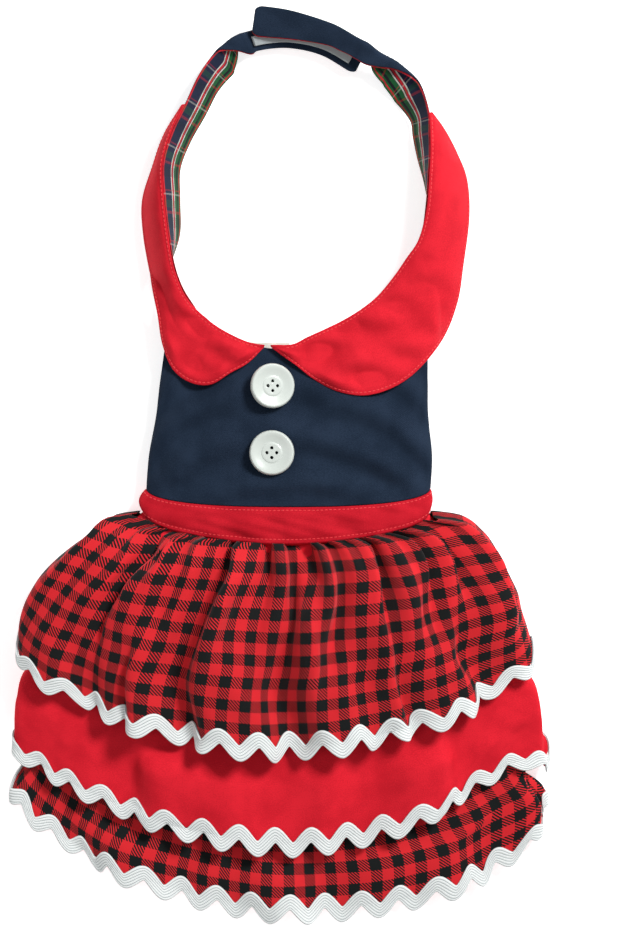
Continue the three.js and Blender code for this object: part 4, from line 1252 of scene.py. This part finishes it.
def drill_holes(piece):
    for hole in range(BUTTON_HOLES):
        turn = hole * 2 * math.pi / BUTTON_HOLES
        place = (BUTTON_HOLE_PITCH * MM * math.cos(turn), BUTTON_HOLE_PITCH * MM * math.sin(turn), 0)
        bpy.ops.mesh.primitive_cylinder_add(vertices=DRILL_SIDES, radius=BUTTON_HOLE * MM,
                                            depth=DRILL_LENGTH * MM, location=place)
        drill = bpy.context.object
        cut = piece.modifiers.new("hole", "BOOLEAN")
        cut.object = drill
        cut.operation = "DIFFERENCE"
        bpy.context.view_layer.objects.active = piece
        bpy.ops.object.modifier_apply(modifier=cut.name)
        bpy.data.objects.remove(drill, do_unlink=True)


def disc_faces(rings, sides):
    """Faces of a closed turned form: rings of points, then one point below and one above them."""
    last = (rings - 1) * sides
    faces = []
    for turn in range(sides):
        follow = (turn + 1) % sides
        faces += [(rings * sides, follow, turn), (rings * sides + 1, last + turn, last + follow)]
        for row in range(rings - 1):
            a, b = row * sides + turn, row * sides + follow
            faces.append((a, b, b + sides, a + sides))
    return faces


def turned_disc(name, radius):
    """The button's form round its own middle, with its edges rounded."""
    angle = (np.arange(BUTTON_TURNS) / BUTTON_TURNS * 2 * math.pi)[None, :]
    rim = np.array([row["radius"] for row in BUTTON_ROWS])[:, None] * radius
    height = np.array([row["height"] for row in BUTTON_ROWS])[:, None] * BUTTON_THICKNESS
    points = vectors(rim * np.cos(angle), rim * np.sin(angle), height).reshape(-1, 3)
    points = np.concatenate([points, [[0, 0, 0], [0, 0, height[-1, 0]]]])
    mesh = bpy.data.meshes.new(name)
    mesh.from_pydata([tuple(point) for point in points * MM], [], disc_faces(len(rim), BUTTON_TURNS))
    piece = add_object(name, mesh)
    drill_holes(piece)
    bevel = piece.modifiers.new("edges", "BEVEL")
    bevel.width = BUTTON_BEVEL * MM
    bevel.segments = 2
    bevel.limit_method = "ANGLE"
    bpy.ops.object.modifier_apply(modifier=bevel.name)
    return piece


def make_button(name, node, tilt):
    """A disc with a sloping rim, a slightly raised middle and four holes; it may lean on its thread."""
    low, high = (np.array(corner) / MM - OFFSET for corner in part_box(node))
    radius = BUTTON_DIAMETER / 2 * BUTTON_FIT
    piece = turned_disc(name, radius)
    lean = math.radians(tilt)
    place = np.array([*(low + high)[:2] / 2, low[2] + 0.45 * radius * math.sin(lean)]) + OFFSET
    piece.data.transform(Matrix.Translation(place * MM) @ Matrix.Rotation(lean, 4, "Y"))
    piece.data.polygons.foreach_set("use_smooth", np.ones(len(piece.data.polygons), dtype=bool))
    piece.data.set_sharp_from_angle(angle=math.radians(50))
    finish(piece, MATERIALS["button"], "button_plastic", node)


# Stage, lights and camera

CAMERA_HEIGHT = 1500
VIEW_CENTRE = (20.5, 42.4)
VIEW_LENGTH = 518
SUBJECT_HEIGHT = 14
SENSOR = 36
FLOOR_SIDE = 4.0
FLOOR_DROP = 0.0003


def make_floor():
    mesh = bpy.data.meshes.new("floor")
    side = FLOOR_SIDE
    corners = [(-side, -side, 0), (side, -side, 0), (side, side, 0), (-side, side, 0)]
    mesh.from_pydata(corners, [], [(0, 1, 2, 3)])
    floor = add_object("floor", mesh)
    floor.location.z = -FLOOR_DROP
    material, shader, _ = new_material("pale_floor", 0.9, specular=0.0)
    shader.inputs["Base Color"].default_value = (0.98, 0.98, 0.98, 1)
    shader.inputs["Emission Color"].default_value = (1, 1, 1, 1)
    shader.inputs["Emission Strength"].default_value = 0.6
    mesh.materials.append(material)


def make_world():
    world = bpy.data.worlds.new("studio")
    world.use_nodes = True
    background = world.node_tree.nodes["Background"]
    background.inputs[0].default_value = (1, 1, 1, 1)
    background.inputs[1].default_value = 0.36
    bpy.context.scene.world = world


def make_light(name, place, size, power):
    """A square light in metres and watts, aimed at the middle of the dress."""
    lamp = bpy.data.lights.new(name, "AREA")
    lamp.size = size
    lamp.energy = power
    holder = add_object(name, lamp)
    holder.location = place
    holder.rotation_euler = (-Vector(place)).to_track_quat("-Z", "Y").to_euler()


def make_camera():
    camera = bpy.data.cameras.new("camera")
    camera.sensor_fit = "VERTICAL"
    camera.sensor_height = SENSOR
    camera.lens = SENSOR * (CAMERA_HEIGHT - SUBJECT_HEIGHT) / VIEW_LENGTH
    camera.clip_end = 20
    holder = add_object("camera", camera)
    holder.location = tuple((np.array([*VIEW_CENTRE, CAMERA_HEIGHT]) + OFFSET) * MM)
    bpy.context.scene.camera = holder


make_camera()
make_floor()
make_world()
make_light("key", (0.85, 0.8, 1.15), 0.42, 28.5)
make_light("fill", (-0.9, -0.2, 1.3), 0.9, 3)
make_belly_band()
make_waistband()
make_bodice()
make_strap("left", LEFT_STRAP_ROWS, 1, 0.8, make_tapes())
make_strap("right", RIGHT_STRAP_ROWS, -1, 1.1)
make_label()
make_collar("left", LEFT_COLLAR_ROWS, 1, 41)
make_collar("right", RIGHT_COLLAR_ROWS, -1, 45)
for tier in TIERS:
    make_tier(tier)
make_button("button_upper_disc", "button_upper", 14)
make_button("button_lower_disc", "button_lower", 0)

bpy.context.scene.view_settings.view_transform = "Standard"
